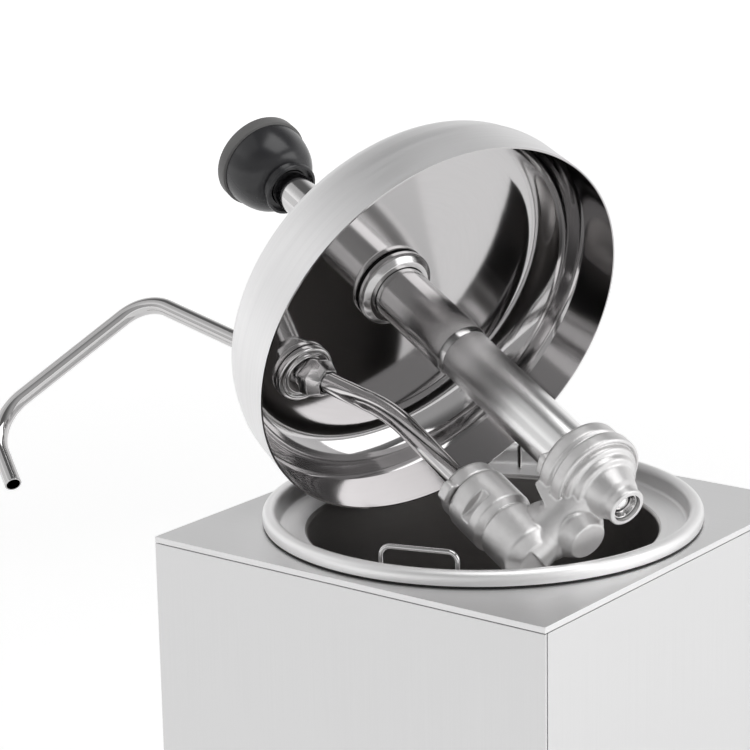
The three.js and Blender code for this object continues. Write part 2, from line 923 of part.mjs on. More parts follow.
const guideBottom = upper.top - guide.spigot;
const flangeTop = guideBottom - gap;
const flangeBottom = flangeTop - plunger.flange;
const guideTop = upper.top + gap + guide.height;
const knobBase = guideTop + plunger.stroke + gap;
const seatBottom = upper.bottom - gap + lower.spigot + gap;

function topCollar() {
  const { radius, chamfer } = guide;
  const bore = plunger.radius + gap;
  const seat = upper.top + gap;
  return spun([
    [bore, guideBottom],
    [upper.bore - gap, guideBottom],
    [upper.bore - gap, seat],
    [radius, seat],
    [radius, guideTop - chamfer],
    [radius - chamfer, guideTop],
    [bore, guideTop],
  ], sides.round);
}

function plungerTube() {
  const { radius, wall, socket } = plunger;
  return spun([
    [rod.radius + gap, flangeBottom],
    [upper.bore - gap, flangeBottom],
    [upper.bore - gap, flangeTop],
    [radius, flangeTop],
    [radius, knobBase + socket],
    [radius - wall, knobBase + socket],
    [radius - wall, flangeTop],
    [rod.radius + gap, flangeTop],
  ], sides.round);
}

function knobBody() {
  const { radius, height, band, base, baseHeight, neck, neckHeight, crown } = knob;
  const bandTop = height - crown;
  const bandLow = bandTop - band;
  const bowl = bandLow - neckHeight;
  const reach = radius - neck;
  const bore = plunger.radius + gap;
  const under = Array.from({ length: steps.bowl - 1 }, (_, i) => {
    const angle = Math.PI / 2 * (i + 1) / steps.bowl;
    return [neck + reach * Math.sin(angle), neckHeight + bowl * (1 - Math.cos(angle))];
  });
  const outline = [
    [0, plunger.socket + gap],
    [bore, plunger.socket + gap],
    [bore, 0],
    [base, 0],
    [base, baseHeight],
    [neck, neckHeight],
    ...under,
    [radius, bandLow],
    [radius, bandTop],
    [radius - crown / 2, bandTop + crown / 2],
    [radius * Math.SQRT1_2, bandTop + crown * Math.SQRT1_2],
    [0, height],
  ];
  return spun(outline, sides.round).translate(0, 0, knobBase);
}

function pistonRod() {
  return drum(rod.radius, rod.bottom, rod.top, sides.inner);
}

function pistonBody() {
  const { length, grooveDepth, groove, grooveAt } = piston;
  const outer = lower.bore - gap;
  const bore = rod.radius + gap;
  const low = rod.bottom;
  return spun([
    [bore, low],
    [outer, low],
    [outer, low + grooveAt],
    [outer - grooveDepth, low + grooveAt],
    [outer - grooveDepth, low + grooveAt + groove],
    [outer, low + grooveAt + groove],
    [outer, low + length],
    [bore, low + length],
  ], sides.inner);
}

function pistonSeal() {
  const outer = lower.bore - gap;
  const low = rod.bottom + piston.grooveAt + gap;
  const inner = outer - piston.grooveDepth + gap;
  return ring(inner, outer, low, low + piston.groove - 2 * gap, sides.inner);
}

function springSeatWasher() {
  const high = seatBottom + springSeat.thickness;
  return ring(rod.radius + gap, upper.bore - gap, seatBottom, high, sides.inner);
}

function returnSpring() {
  const { wire, radius, coils, stepsPerCoil } = spring;
  const low = seatBottom + springSeat.thickness + gap + wire;
  const high = flangeBottom - gap - wire;
  const count = coils * stepsPerCoil;
  const stations = Array.from({ length: count + 1 }, (_, i) => {
    const angle = 2 * Math.PI * i / stepsPerCoil;
    const height = low + (high - low) * i / count;
    return new THREE.Vector3(radius * Math.cos(angle), radius * Math.sin(angle), height);
  });
  return swept(stations, wire, sides.coil);
}

// Valve

function mainLockCollar() {
  const { radius, height, lug, lugWidth, angle } = lock;
  const low = valve.top + gap;
  const body = join(
    drum(radius, low, low + height, sides.round),
    slab(2 * lug, lugWidth, height, 0, 0, low).rotateZ(radians(angle)),
  );
  return cut(body, drum(lower.radius + gap, low - overrun, low + height + overrun, sides.round));
}

const flangeOneLow = valve.top - valve.flangeOneHeight;
const grooveLow = flangeOneLow - valve.grooveHeight;
const flangeTwoLow = grooveLow - valve.flangeTwoHeight;
const stepLow = flangeTwoLow - valve.stepHeight;
const coneLow = stepLow - valve.coneHeight;

function intakeHead() {
  const { top, flangeOne, groove, grooveEase, flangeTwo, step, cone, neck, face, faceRadius, edge } = valve;
  return spun([
    [0, top],
    [flangeOne - edge, top],
    [flangeOne, top - edge],
    [flangeOne, flangeOneLow],
    [groove, flangeOneLow - grooveEase],
    [groove, grooveLow + grooveEase],
    [flangeTwo, grooveLow],
    [flangeTwo, flangeTwoLow + edge],
    [flangeTwo - edge, flangeTwoLow],
    [step, flangeTwoLow],
    [step, stepLow + edge],
    [cone, stepLow],
    [neck, coneLow],
    [faceRadius, coneLow - edge],
    [faceRadius, face],
    [0, face],
  ], sides.round);
}

function dischargeHousing() {
  const { top, bottom, crown, crownBottom, waist, bodyRadius, taper, across } = discharge;
  const outer = spun([
    [0, crownBottom - taper],
    [waist, crownBottom - taper],
    [crown, crownBottom],
    [crown, top - valve.edge],
    [crown - valve.edge, top],
    [0, top],
  ], sides.round);
  const stem = spun([
    [0, bottom],
    [bodyRadius - taper, bottom],
    [bodyRadius, bottom + taper],
    [bodyRadius, crownBottom - taper],
    [waist, crownBottom],
    [0, crownBottom],
  ], sides.inner);
  const pockets = [-1, 1].map((side) => {
    const low = scallop.middle - scallop.height / 2;
    const pocket = drum(scallop.radius, low, low + scallop.height, sides.round);
    return pocket.translate(0, side * scallop.shift, 0).rotateZ(radians(scallop.angle));
  });
  return cut(join(outer, stem), ...pockets).translate(across, 0, 0);
}

function crossoverArm() {
  const { radius, height } = crossover;
  return drum(radius, 0, discharge.across, sides.small).rotateY(Math.PI / 2).translate(0, 0, height);
}

function flatBoss() {
  const { radius, across, face, chamfer, facing: offset } = boss;
  return spun([
    [0, face],
    [radius - chamfer, face],
    [radius, face + chamfer],
    [radius, crossover.height],
    [0, crossover.height],
  ], sides.small).translate(across, offset, 0);
}

function valveBody() {
  const body = join(intakeHead(), dischargeHousing(), crossoverArm(), flatBoss());
  const socket = drum(lower.radius + gap, valve.top - socketDepth, valve.top + overrun, sides.round);
  const chamber = drum(valve.chamber, valve.chamberBottom, valve.top, sides.round);
  const port = drum(intake.bore, valve.face - overrun, valve.chamberBottom + overrun, sides.round);
  const passage = drum(crossover.bore, 0, discharge.across, sides.small).rotateY(Math.PI / 2);
  const { across, top, bore, seatTop, seatHole, seatThickness, chamberBottom } = discharge;
  const upperBore = drum(bore, seatTop, top + overrun, sides.round).translate(across, 0, 0);
  const hole = drum(seatHole, chamberBottom, seatTop + overrun, sides.round).translate(across, 0, 0);
  const lowerBore = drum(discharge.chamber, chamberBottom, seatTop - seatThickness, sides.round);
  return cut(
    body,
    socket,
    chamber,
    port,
    passage.translate(0, 0, crossover.height),
    upperBore,
    hole,
    lowerBore.translate(across, 0, 0),
  );
}

const seatTop = valve.face + intake.recess + intake.seatThickness;

function intakeSeat() {
  return ring(intake.seatHole, intake.bore - gap, valve.face + intake.recess, seatTop, sides.round);
}

// A ball set on the edge of a round hole, the gap above it
function seatedBall(hole, seat, across) {
  const rise = Math.sqrt(intake.ball ** 2 - hole ** 2);
  const ball = new THREE.SphereGeometry(intake.ball, sides.small, sides.screw).rotateX(Math.PI / 2);
  return ball.translate(across, 0, seat + rise + gap);
}

function dischargeBall() {
  return seatedBall(discharge.seatHole, discharge.seatTop, discharge.across);
}

function dischargeCap() {
  const { radius, height, spigot, lug, lugWidth, lugHeight, shoulder, angle } = cap;
  const low = discharge.top + gap;
  const high = low + height;
  const body = join(
    spun([
      [0, low - spigot],
      [discharge.bore - gap, low - spigot],
      [discharge.bore - gap, low],
      [radius, low],
      [radius, high - shoulder],
      [radius - shoulder, high],
      [0, high],
    ], sides.round),
    slab(2 * lug, lugWidth, lugHeight, 0, 0, low),
  );
  const bore = drum(feed.radius + gap, low - spigot - overrun, high + overrun, sides.round);
  return cut(body, bore).rotateZ(radians(angle)).translate(discharge.across, 0, 0);
}

// Tubes. The fitting leans with them, and its flange lies flat under the lid.

const leanAngle = radians(fitting.angle);
const leanDirection = new THREE.Vector3(Math.sin(leanAngle), 0, Math.cos(leanAngle));
const fittingPlace = new THREE.Vector3(fitting.across, 0, lid.height - lid.wall / 2);

function leaning(geometry) {
  return geometry.rotateY(leanAngle).translate(fittingPlace.x, 0, fittingPlace.z);
}

function feedTube() {
  const elbow = fittingPlace.z - (fitting.across - discharge.across) / Math.tan(leanAngle);
  const corners = [
    new THREE.Vector3(discharge.across, 0, feed.bottom),
    new THREE.Vector3(discharge.across, 0, elbow),
    fittingPlace.clone().addScaledVector(leanDirection, -gap),
  ];
  return swept(bent(corners, feed.bendRadius, steps.tube), feed.radius, sides.tube, feed.bore);
}

function spoutTube() {
  const { radius, bore, bendRadius, runAngle, outletAngle, start } = spout;
  const rise = (spoutElbow.height - fittingPlace.z) / Math.cos(leanAngle);
  const elbow = fittingPlace.clone().addScaledVector(leanDirection, rise);
  const run = radians(runAngle);
  const drop = radians(outletAngle);
  const along = new THREE.Vector3(Math.cos(run), 0, Math.sin(run));
  const shoulder = elbow.clone().addScaledVector(along, spoutReach.run);
  const fall = new THREE.Vector3(Math.sin(drop), 0, -Math.cos(drop));
  const corners = [
    fittingPlace.clone().addScaledVector(leanDirection, start),
    elbow,
    shoulder,
    shoulder.clone().addScaledVector(fall, spoutReach.outlet),
  ];
  return swept(bent(corners, bendRadius, steps.tube), radius, sides.tube, bore);
}

function spoutFlange() {
  const { across, flange, flangeHeight, ring: ringRadius, ringHeight, sleeve, below, above } = fitting;
  const high = discBelow - gap;
  const mid = high - flangeHeight;
  const stepped = spun([
    [0, mid - ringHeight],
    [ringRadius, mid - ringHeight],
    [ringRadius, mid],
    [flange, mid],
    [flange, high],
    [0, high],
  ], sides.round).translate(across, 0, 0);
  const body = join(stepped, leaning(drum(sleeve, -below, above, sides.round)));
  const feedBore = leaning(drum(feed.radius + gap, -below - overrun, 0, sides.round));
  const spoutBore = leaning(drum(spout.radius + gap, -gap, above + overrun, sides.round));
  return cut(body, feedBore, spoutBore);
}

function spoutNut() {
  const { top, bottom, start, length, bore } = coneNut;
  const outer = spun([
    [0, -start - length],
    [bottom, -start - length],
    [top, -start - length / 2],
    [top, -start],
    [0, -start],
  ], sides.hex);
  const wide = drum(bore, -fitting.below - gap, -start + overrun, sides.round);
  const narrow = drum(feed.radius + gap, -start - length - overrun, -start, sides.round);
  const clear = discBelow - gap - fitting.flangeHeight - fitting.ringHeight - gap;
  const size = 2 * (top + start + length);
  const block = slab(size, size, size, fitting.across, 0, clear - size);
  return common(leaning(cut(outer, wide, narrow)), block);
}

function spoutTopNut() {
  const { radius, height } = topNut;
  const low = lid.height + gap;
  const tall = leaning(hexRing(radius, coneNut.bore, -radius, height + lid.wall));
  const size = 2 * (radius + height);
  return common(tall, slab(size, size, size, fitting.across, 0, low));
}

// The leaning pump is lowered until one of its pieces lies the gap above the pot.

// Height of the pot's surface, or of the panel outside it, at a radius
function potHeight(radius) {
  const { rimRadius } = pot;
  const across = Math.abs(radius - rimCentre.radius);
  if (radius < potInner) return -potDepth;
  if (radius < potNeck) return shoulderHeight(radius);
  return across < rimRadius ? rimCentre.height + Math.sqrt(rimRadius ** 2 - across ** 2) : 0;
}

function restingHeight(pieces, turned, place) {
  const point = new THREE.Vector3();
  const corners = [new THREE.Vector3(), new THREE.Vector3(), new THREE.Vector3()];
  const count = steps.contact;
  let height = -Infinity;
  for (const geometry of pieces) {
    const { position } = geometry.attributes;
    for (let i = 0; i < geometry.index.count; i += 3) {
      corners.forEach((corner, k) => {
        corner.fromBufferAttribute(position, geometry.index.getX(i + k)).applyQuaternion(turned);
      });
      for (let a = 0; a <= count; a += 1) {
        for (let b = 0; b <= count - a; b += 1) {
          point.copy(corners[0]).multiplyScalar((count - a - b) / count);
          point.addScaledVector(corners[1], a / count).addScaledVector(corners[2], b / count);
          const radius = Math.hypot(point.x + place.x, point.y + place.y);
          const floor = Math.max(potHeight(radius - gap), potHeight(radius), potHeight(radius + gap));
          height = Math.max(height, floor + gap - point.z);
        }
      }
    }
  }
  return height;
}

function pumpTurn() {
  const euler = new THREE.Euler(0, radians(leanAngles.tilt), radians(leanAngles.azimuth), 'ZYX');
  const vertical = new THREE.Vector3(0, 0, 1);
  const spin = new THREE.Quaternion().setFromAxisAngle(vertical, radians(leanAngles.spin));
  return new THREE.Quaternion().setFromEuler(euler).multiply(spin);
}

function pumpPlace(turned) {
  const place = new THREE.Vector3(leanPlace.out, leanPlace.side, 0);
  place.applyAxisAngle(new THREE.Vector3(0, 0, 1), radians(leanAngles.azimuth));
  const pieces = [lidShell(), valveBody(), dischargeCap(), feedTube()].map(welded);
  return place.setZ(restingHeight(pieces, turned, place));
}

// Assembly

const dispenser = new THREE.Group();

piece(dispenser, 'base_plate', basePlate(), 'zinc');
piece(dispenser, 'body_wrap', bodyWrap(), 'brushed');
piece(dispenser, 'front_panel', frontPanel(), 'brushed');
piece(dispenser, 'top_panel', topPanel(), 'brushed');
for (const [name, [x, y]] of Object.entries(footPlaces())) {
  piece(dispenser, `foot_${name}`, rubberFoot(), 'rubber').position.set(x, y, 0);
  piece(dispenser, `foot_screw_${name}`, footScrewShape(), 'zinc').position.set(x, y, 0);
}
piece(dispenser, 'thermostat_body', thermostatBody(), 'ceramic');
piece(dispenser, 'thermostat_shaft', thermostatShaft(), 'zinc');
piece(dispenser, 'thermostat_dial', thermostatDial(), 'black');
piece(dispenser, 'thermostat_probe', thermostatProbe(), 'copper');
piece(dispenser, 'switch_housing', switchHousing(), 'black');
piece(dispenser, 'switch_rocker', rockerKey(), 'black');
piece(dispenser, 'indicator_lamp', indicatorLamp(), 'amber');
piece(dispenser, 'lamp_bezel', lampBezel(), 'black');
piece(dispenser, 'cable_gland', cableGland(), 'black');
piece(dispenser, 'gland_locknut', glandLocknut(), 'black');
piece(dispenser, 'terminal_block', terminalBlock(), 'ceramic');

const mouth = new THREE.Group();
mouth.position.z = cabinet.height;
dispenser.add(mouth);
piece(mouth, 'water_vessel', waterVessel(), 'brushed');
piece(mouth, 'insulation_jacket', insulationJacket(), 'wool');
piece(mouth, 'heater_plate', heaterPlate(), 'zinc');
piece(mouth, 'heater_element', ringElement(), 'ceramic');
piece(mouth, 'clamp_bar', clampBar(), 'zinc');
piece(mouth, 'clamp_nut', studNut(), 'zinc');
piece(mouth, 'thermal_cutout', thermalCutout(), 'black');
piece(mouth, 'rim_seal', rimSeal(), 'rubber');
piece(mouth, 'pot', potShell(), 'brushed');
piece(mouth, 'pot_handle_front', wireHandle(handle.frontAzimuth), 'polished');
piece(mouth, 'pot_handle_rear', wireHandle(handle.rearAzimuth), 'polished');

const pump = new THREE.Group();
pump.quaternion.copy(pumpTurn());
pump.position.copy(pumpPlace(pump.quaternion));
mouth.add(pump);
piece(pump, 'lid', lidShell(), 'polished');
piece(pump, 'lid_lock_nut', lidLockNut(), 'polished');
piece(pump, 'lid_collar', lidCollar(), 'polished');
piece(pump, 'collar_seal', collarSealRing(), 'rubber');
piece(pump, 'cylinder_upper', cylinderUpper(), 'polished');
piece(pump, 'cylinder_lower', cylinderLower(), 'polished');
piece(pump, 'top_collar', topCollar(), 'polished');
piece(pump, 'spring_seat', springSeatWasher(), 'zinc');
piece(pump, 'return_spring', returnSpring(), 'zinc');
piece(pump, 'main_lock_collar', mainLockCollar(), 'cast');
piece(pump, 'valve_body', valveBody(), 'cast');
piece(pump, 'intake_seat', intakeSeat(), 'polished');
piece(pump, 'intake_ball', seatedBall(intake.seatHole, seatTop, 0), 'polished');
piece(pump, 'discharge_ball', dischargeBall(), 'polished');
piece(pump, 'discharge_cap', dischargeCap(), 'cast');
piece(pump, 'discharge_tube', feedTube(), 'polished');
piece(pump, 'spout_flange', spoutFlange(), 'polished');
piece(pump, 'spout_nut', spoutNut(), 'polished');
piece(pump, 'spout_top_nut', spoutTopNut(), 'polished');
piece(pump, 'spout_tube', spoutTube(), 'polished');
piece(pump, 'plunger_tube', plungerTube(), 'polished');
piece(pump, 'knob', knobBody(), 'black');
piece(pump, 'piston_rod', pistonRod(), 'zinc');
piece(pump, 'piston', pistonBody(), 'zinc');
piece(pump, 'piston_seal', pistonSeal(), 'rubber');

export default dispenser;
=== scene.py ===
"""Looks for the cheese warmer dispenser: a cabinet, a lift-out pot and the pump leaned in its mouth."""

import math

import bmesh
import bpy
from mathutils import Matrix, Vector


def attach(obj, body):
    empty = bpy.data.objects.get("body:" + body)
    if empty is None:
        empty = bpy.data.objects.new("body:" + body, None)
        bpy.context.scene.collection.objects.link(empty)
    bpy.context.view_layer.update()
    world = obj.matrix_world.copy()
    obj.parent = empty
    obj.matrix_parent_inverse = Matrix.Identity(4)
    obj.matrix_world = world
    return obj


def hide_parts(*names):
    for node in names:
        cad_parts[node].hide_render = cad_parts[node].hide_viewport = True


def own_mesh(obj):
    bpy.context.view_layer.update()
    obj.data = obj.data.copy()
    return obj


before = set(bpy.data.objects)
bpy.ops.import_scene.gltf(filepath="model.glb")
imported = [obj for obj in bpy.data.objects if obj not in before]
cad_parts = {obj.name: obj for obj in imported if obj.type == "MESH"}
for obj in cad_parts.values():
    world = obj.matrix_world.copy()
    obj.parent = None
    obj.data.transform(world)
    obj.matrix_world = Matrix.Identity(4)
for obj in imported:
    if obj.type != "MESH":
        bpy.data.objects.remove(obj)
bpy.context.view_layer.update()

# Lengths here are millimetres in the local frame of what they belong to, as in the CAD source. TOP is the
# top panel's height, HALF is half the cabinet's width, GAP keeps pieces apart, and SHARP is in degrees.
MM = 0.001
TOP = 223
HALF = 100
PUMP_PLACE = Vector((-26.398, 9.057, TOP + 76.291))
PUMP_UP = Vector((-0.88674, 0.27959, 0.36812)).normalized()
PUMP_ACROSS = Vector((-0.46056, -0.60265, -0.65169)).normalized()
GAP = 0.3
SHARP = 35


def rigid(place, across=Vector((1, 0, 0)), up=Vector((0, 0, 1))):
    side = up.cross(across).normalized()
    turn = Matrix((side.cross(up), side, up)).transposed().to_4x4()
    return Matrix.Translation(place * MM) @ turn


ROW = rigid(Vector((0, 0, 0)))
MOUTH = rigid(Vector((0, 0, TOP)))
PUMP = rigid(PUMP_PLACE, PUMP_ACROSS, PUMP_UP)


# Outlines

def arc(radius, height, size, start, end, steps):
    """Points on an arc about (radius, height), angles in degrees."""
    angles = [math.radians(start + (end - start) * i / steps) for i in range(steps + 1)]
    return [(radius + size * math.cos(a), height + size * math.sin(a)) for a in angles]


def thickened(line, wall):
    """A [radius, height] line with a second side to its left."""
    normals = []
    for (r0, h0), (r1, h1) in zip(line, line[1:]):
        along = Vector((r1 - r0, h1 - h0)).normalized()
        normals.append(Vector((-along.y, along.x)))
    far = []
    for i, (radius, height) in enumerate(line):
        before, after = normals[max(i - 1, 0)], normals[min(i, len(normals) - 1)]
        shift = (before + after) * (wall / (1 + before.dot(after)))
        far.append((0 if radius == 0 else radius + shift.x, height + shift.y))
    return list(line) + far[::-1]


# A rounding takes up to this share of a side, and a corner stays whose half angle is more than STRAIGHT.
SIDE_SHARE, STRAIGHT = 0.48, 1.5


def rounded(outline, radius, steps=4, closed=True):
    """The outline with its corners rounded. A point's own third number is the radius there."""
    points, count = [], len(outline)
    for i, corner in enumerate(outline):
        here = Vector(corner[:2])
        size = corner[2] if len(corner) > 2 else radius
        before = Vector(outline[i - 1][:2]) - here
        after = Vector(outline[(i + 1) % count][:2]) - here
        plain = size == 0 or here.x == 0 or before.length * after.length == 0
        plain = plain or not closed and i in (0, count - 1)
        half = 0 if plain else before.angle(after) / 2
        if plain or half > STRAIGHT:
            points.append((here.x, here.y))
            continue
        reach = min(size / math.tan(half), SIDE_SHARE * before.length, SIDE_SHARE * after.length)
        start, end = here + before.normalized() * reach, here + after.normalized() * reach
        for step in range(steps + 1):
            t = step / steps
            point = start * (1 - t) ** 2 + here * 2 * t * (1 - t) + end * t ** 2
            points.append((point.x, point.y))
    return points


# Meshes. Each is made in its own frame in metres, and its object is placed by that frame's matrix.

DOUBLED, ON_AXIS = 1e-7, 1e-9


def finished(mesh, sharp):
    """Doubled points joined, faces turned outward, and edges sharp past an angle in degrees."""
    bm = bmesh.new()
    bm.from_mesh(mesh)
    bmesh.ops.remove_doubles(bm, verts=bm.verts, dist=DOUBLED)
    bmesh.ops.recalc_face_normals(bm, faces=bm.faces)
    for face in bm.faces:
        face.smooth = True
    for edge in bm.edges:
        edge.smooth = len(edge.link_faces) == 2 and edge.calc_face_angle(0) < math.radians(sharp)
    bm.to_mesh(mesh)
    bm.free()


def solid(name, points, faces, place, sharp=SHARP):
    mesh = bpy.data.meshes.new(name)
    mesh.from_pydata([Vector(p) * MM for p in points], [], faces)
    finished(mesh, sharp)
    obj = bpy.data.objects.new(name, mesh)
    obj.matrix_world = place
    bpy.context.scene.collection.objects.link(obj)
    return obj


def spun(name, outline, place, count, sharp=SHARP, shift=(0, 0)):
    """A closed outline turned about the local Z, then moved by shift."""
    points, faces, rows = [], [], []
    for radius, height in outline:
        if radius < ON_AXIS:
            rows.append([len(points)] * count)
            points.append((shift[0], shift[1], height))
        else:
            rows.append(list(range(len(points), len(points) + count)))
            for i in range(count):
                a = 2 * math.pi * i / count
                points.append((shift[0] + radius * math.cos(a), shift[1] + radius * math.sin(a), height))
    for row, following in zip(rows, rows[1:] + rows[:1]):
        if row[0] == row[1] and following[0] == following[1]:
            continue
        for i in range(count):
            j = (i + 1) % count
            corners = [row[i], row[j], following[j], following[i]]
            faces.append([c for k, c in enumerate(corners) if c not in corners[:k]])
    return solid(name, points, faces, place, sharp)


def drum(name, radius, low, high, place, count=64, shift=(0, 0)):
    return spun(name, [(0, low), (radius, low), (radius, high), (0, high)], place, count, shift=shift)


def bent(corners, bend, steps):
    """Stations along straight legs whose corners are rounded to one bend radius."""
    stations = [corners[0]]
    for before, here, after in zip(corners, corners[1:], corners[2:]):
        into, out = (here - before).normalized(), (after - here).normalized()
        turn = into.angle(out)
        start = here - into * bend * math.tan(turn / 2)
        side = (out - into * math.cos(turn)).normalized()
        for step in range(steps + 1):
            a = turn * step / steps
            stations.append(start + into * bend * math.sin(a) + side * bend * (1 - math.cos(a)))
    return stations + [corners[-1]]


LIP = 0.25


def swept(name, stations, radius, place, count, bore=0):
    """A tube or a wire along the stations, its ends rounded by a lip."""
    sections, normal = [], None
    for i, here in enumerate(stations):
        along = (stations[min(i + 1, len(stations) - 1)] - stations[max(i - 1, 0)]).normalized()
        if normal is None:
            normal = along.orthogonal().normalized()
        normal = (normal - along * normal.dot(along)).normalized()
        sections.append((here, along, normal.copy()))

    def circle(section, size, shift):
        here, along, side = section
        across = along.cross(side)
        middle = here + along * shift
        angles = [2 * math.pi * i / count for i in range(count)]
        return [middle + side * size * math.cos(a) + across * size * math.sin(a) for a in angles]

    first, last = sections[0], sections[-1]
    outer = [circle(first, radius - LIP, 0), circle(first, radius, LIP)]
    outer += [circle(s, radius, 0) for s in sections[1:-1]]
    outer += [circle(last, radius, -LIP), circle(last, radius - LIP, 0)]
    loops = outer + ([circle(section, bore, 0) for section in sections[::-1]] if bore else [])
    points = [p for loop in loops for p in loop]
    faces = []
    pairs = list(zip(range(len(loops)), range(1, len(loops))))
    if bore:
        pairs.append((len(loops) - 1, 0))
    for a, b in pairs:
        for i in range(count):
            j = (i + 1) % count
            faces.append([a * count + i, a * count + j, b * count + j, b * count + i])
    if not bore:
        faces.append(list(range(count)))
        faces.append(list(range(len(points) - count, len(points))))
    return solid(name, points, faces, place)


def prism(name, outline, low, high, place, sharp=SHARP):
    """A flat outline of (x, y) points pulled up along the local Z."""
    count = len(outline)
    points = [(x, y, z) for z in (low, high) for x, y in outline]
    faces = [list(range(count)), list(range(count, 2 * count))]
    for i in range(count):
        j = (i + 1) % count
        faces.append([i, j, count + j, count + i])
    return solid(name, points, faces, place, sharp)


def block(name, size, middle, place):
    x, y, z = (s / 2 for s in size)
    outline = [(middle[0] + a * x, middle[1] + b * y) for a, b in ((-1, -1), (1, -1), (1, 1), (-1, 1))]
    return prism(name, outline, middle[2] - z, middle[2] + z, place)


def regular(radius, count):
    """The corners of a regular polygon, or evenly spaced places on a circle."""
    angles = [2 * math.pi * i / count for i in range(count)]
    return [(radius * math.cos(a), radius * math.sin(a)) for a in angles]


def baked(obj, sharp=SHARP):
    """Its modifiers made real."""
    bpy.context.view_layer.update()
    shown = obj.evaluated_get(bpy.context.evaluated_depsgraph_get())
    mesh = bpy.data.meshes.new_from_object(shown)
    obj.modifiers.clear()
    obj.data = mesh
    finished(mesh, sharp)
    return obj


def combined(obj, operation, *tools, sharp=SHARP):
    """Cut by the tools, joined with them or kept where they are. The tools are used up."""
    for tool in tools:
        modifier = obj.modifiers.new("combine", "BOOLEAN")
        modifier.operation, modifier.solver, modifier.object = operation, "EXACT", tool
        baked(obj, sharp)
        bpy.data.objects.remove(tool)
    return obj


EDGE = 40


def softened(obj, width, steps=2):
    """Its edges that turn by more than EDGE degrees rounded."""
    modifier = obj.modifiers.new("edges", "BEVEL")
    modifier.width, modifier.segments = width * MM, steps
    modifier.limit_method, modifier.angle_limit = "ANGLE", math.radians(EDGE)
    modifier.use_clamp_overlap = True
    return baked(obj)


def remeshed(obj, voxel, smoothing):
    """Joined shells made one skin, its corners blended as a casting's are."""
    modifier = obj.modifiers.new("skin", "REMESH")
    modifier.mode, modifier.voxel_size = "VOXEL", voxel * MM
    modifier = obj.modifiers.new("blend", "SMOOTH")
    modifier.factor, modifier.iterations = 0.5, smoothing
    return baked(obj, sharp=60)


def merged(name, objects):
    """Several objects in one frame as one object."""
    bm = bmesh.new()
    for obj in objects:
        bm.from_mesh(obj.data)
    mesh = bpy.data.meshes.new(name)
    bm.to_mesh(mesh)
    bm.free()
    place = objects[0].matrix_world.copy()
    for obj in objects:
        bpy.data.objects.remove(obj)
    result = bpy.data.objects.new(name, mesh)
    result.matrix_world = place
    bpy.context.scene.collection.objects.link(result)
    return result


# In mm and in degrees
WELD, FLAT = 0.002, 1


def copied(node, name):
    """A CAD node's mesh as a new object, its facets joined where they lie flat."""
    obj = bpy.data.objects.new(name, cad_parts[node].data.copy())
    bpy.context.scene.collection.objects.link(obj)
    obj.data.materials.clear()
    bm = bmesh.new()
    bm.from_mesh(obj.data)
    bmesh.ops.remove_doubles(bm, verts=bm.verts, dist=WELD * MM)
    bmesh.ops.dissolve_limit(bm, angle_limit=math.radians(FLAT), verts=bm.verts, edges=bm.edges)
    bm.to_mesh(obj.data)
    bm.free()
    return obj


# Materials

class Tree:
    """A node tree, made one call at a time. An input is a number, a colour or another node's output."""

    def __init__(self, tree):
        self.tree = tree

    def add(self, kind, inputs=(), out=0, **settings):
        node = self.tree.nodes.new("ShaderNode" + kind)
        for key, value in settings.items():
            setattr(node, key, value)
        for key, value in dict(inputs).items():
            self.join(node.inputs[key], value)
        return node.outputs[out]

    def join(self, socket, value):
        if isinstance(value, bpy.types.NodeSocket):
            self.tree.links.new(value, socket)
        else:
            socket.default_value = value

    def math(self, operation, *values):
        return self.add("Math", dict(enumerate(values)), operation=operation)

    def between(self, value, low, high, start=0.0, end=1.0, **settings):
        """The value's way from start to end, as a way from low to high."""
        return self.add("MapRange", {0: value, 1: start, 2: end, 3: low, 4: high}, **settings)


class Nodes(Tree):
    """A material's nodes."""

    def __init__(self, name):
        self.material = bpy.data.materials.new(name + "_finish")
        self.material.use_nodes = True
        super().__init__(self.material.node_tree)
        self.shader = self.tree.nodes["Principled BSDF"]

    def set(self, **values):
        for key, value in values.items():
            self.join(self.shader.inputs[key.replace("_", " ")], value)

    def place(self, scale=(1, 1, 1), within=None):
        """The place on the object in metres, seen from the frame within, then scaled."""
        here = self.add("TexCoord", out=3)
        if within is not None:
            inverse = within.inverted()
            turn = tuple(inverse.to_euler())
            shift = tuple(inverse.translation)
            here = self.add("Mapping", {"Vector": here, "Rotation": turn, "Location": shift})
        return self.add("Mapping", {"Vector": here, "Scale": scale})

    def turned(self, radial, height, around, within):
        """The place as (radius, height, angle) about the Z of a frame, each scaled."""
        here = self.place(within=within)
        x, y, z = (self.add("SeparateXYZ", {0: here}, out=i) for i in range(3))
        squares = [self.math("MULTIPLY", part, part) for part in (x, y)]
        radius = self.math("SQRT", self.math("ADD", *squares))
        angle = self.math("ARCTAN2", y, x)
        scaled = ((radius, radial), (z, height), (angle, around))
        return self.add("CombineXYZ", dict(enumerate(self.math("MULTIPLY", *pair) for pair in scaled)))

    def noise(self, vector, detail, roughness=0.5):
        inputs = {"Vector": vector, "Scale": 1.0, "Detail": detail, "Roughness": roughness}
        return self.add("TexNoise", inputs)

    def even(self, scale, detail):
        """Noise that changes as fast in every direction, per metre."""
        return self.noise(self.place((scale, scale, scale)), detail)

    def colors(self, share, first, second):
        """The way from one colour to another. The Mix node has its colours at 6 and 7, its result at 2."""
        return self.add("Mix", {0: share, 6: (*first, 1), 7: (*second, 1)}, out=2, data_type="RGBA")

    def bump(self, *heights):
        """Each height is (value, depth in mm)."""
        normal = None
        for value, depth in heights:
            inputs = {"Height": value, "Distance": depth * MM, "Strength": 1.0}
            if normal is not None:
                inputs["Normal"] = normal
            normal = self.add("Bump", inputs)
        self.set(Normal=normal)


def shaded(color, share):
    return tuple(part * share for part in color)


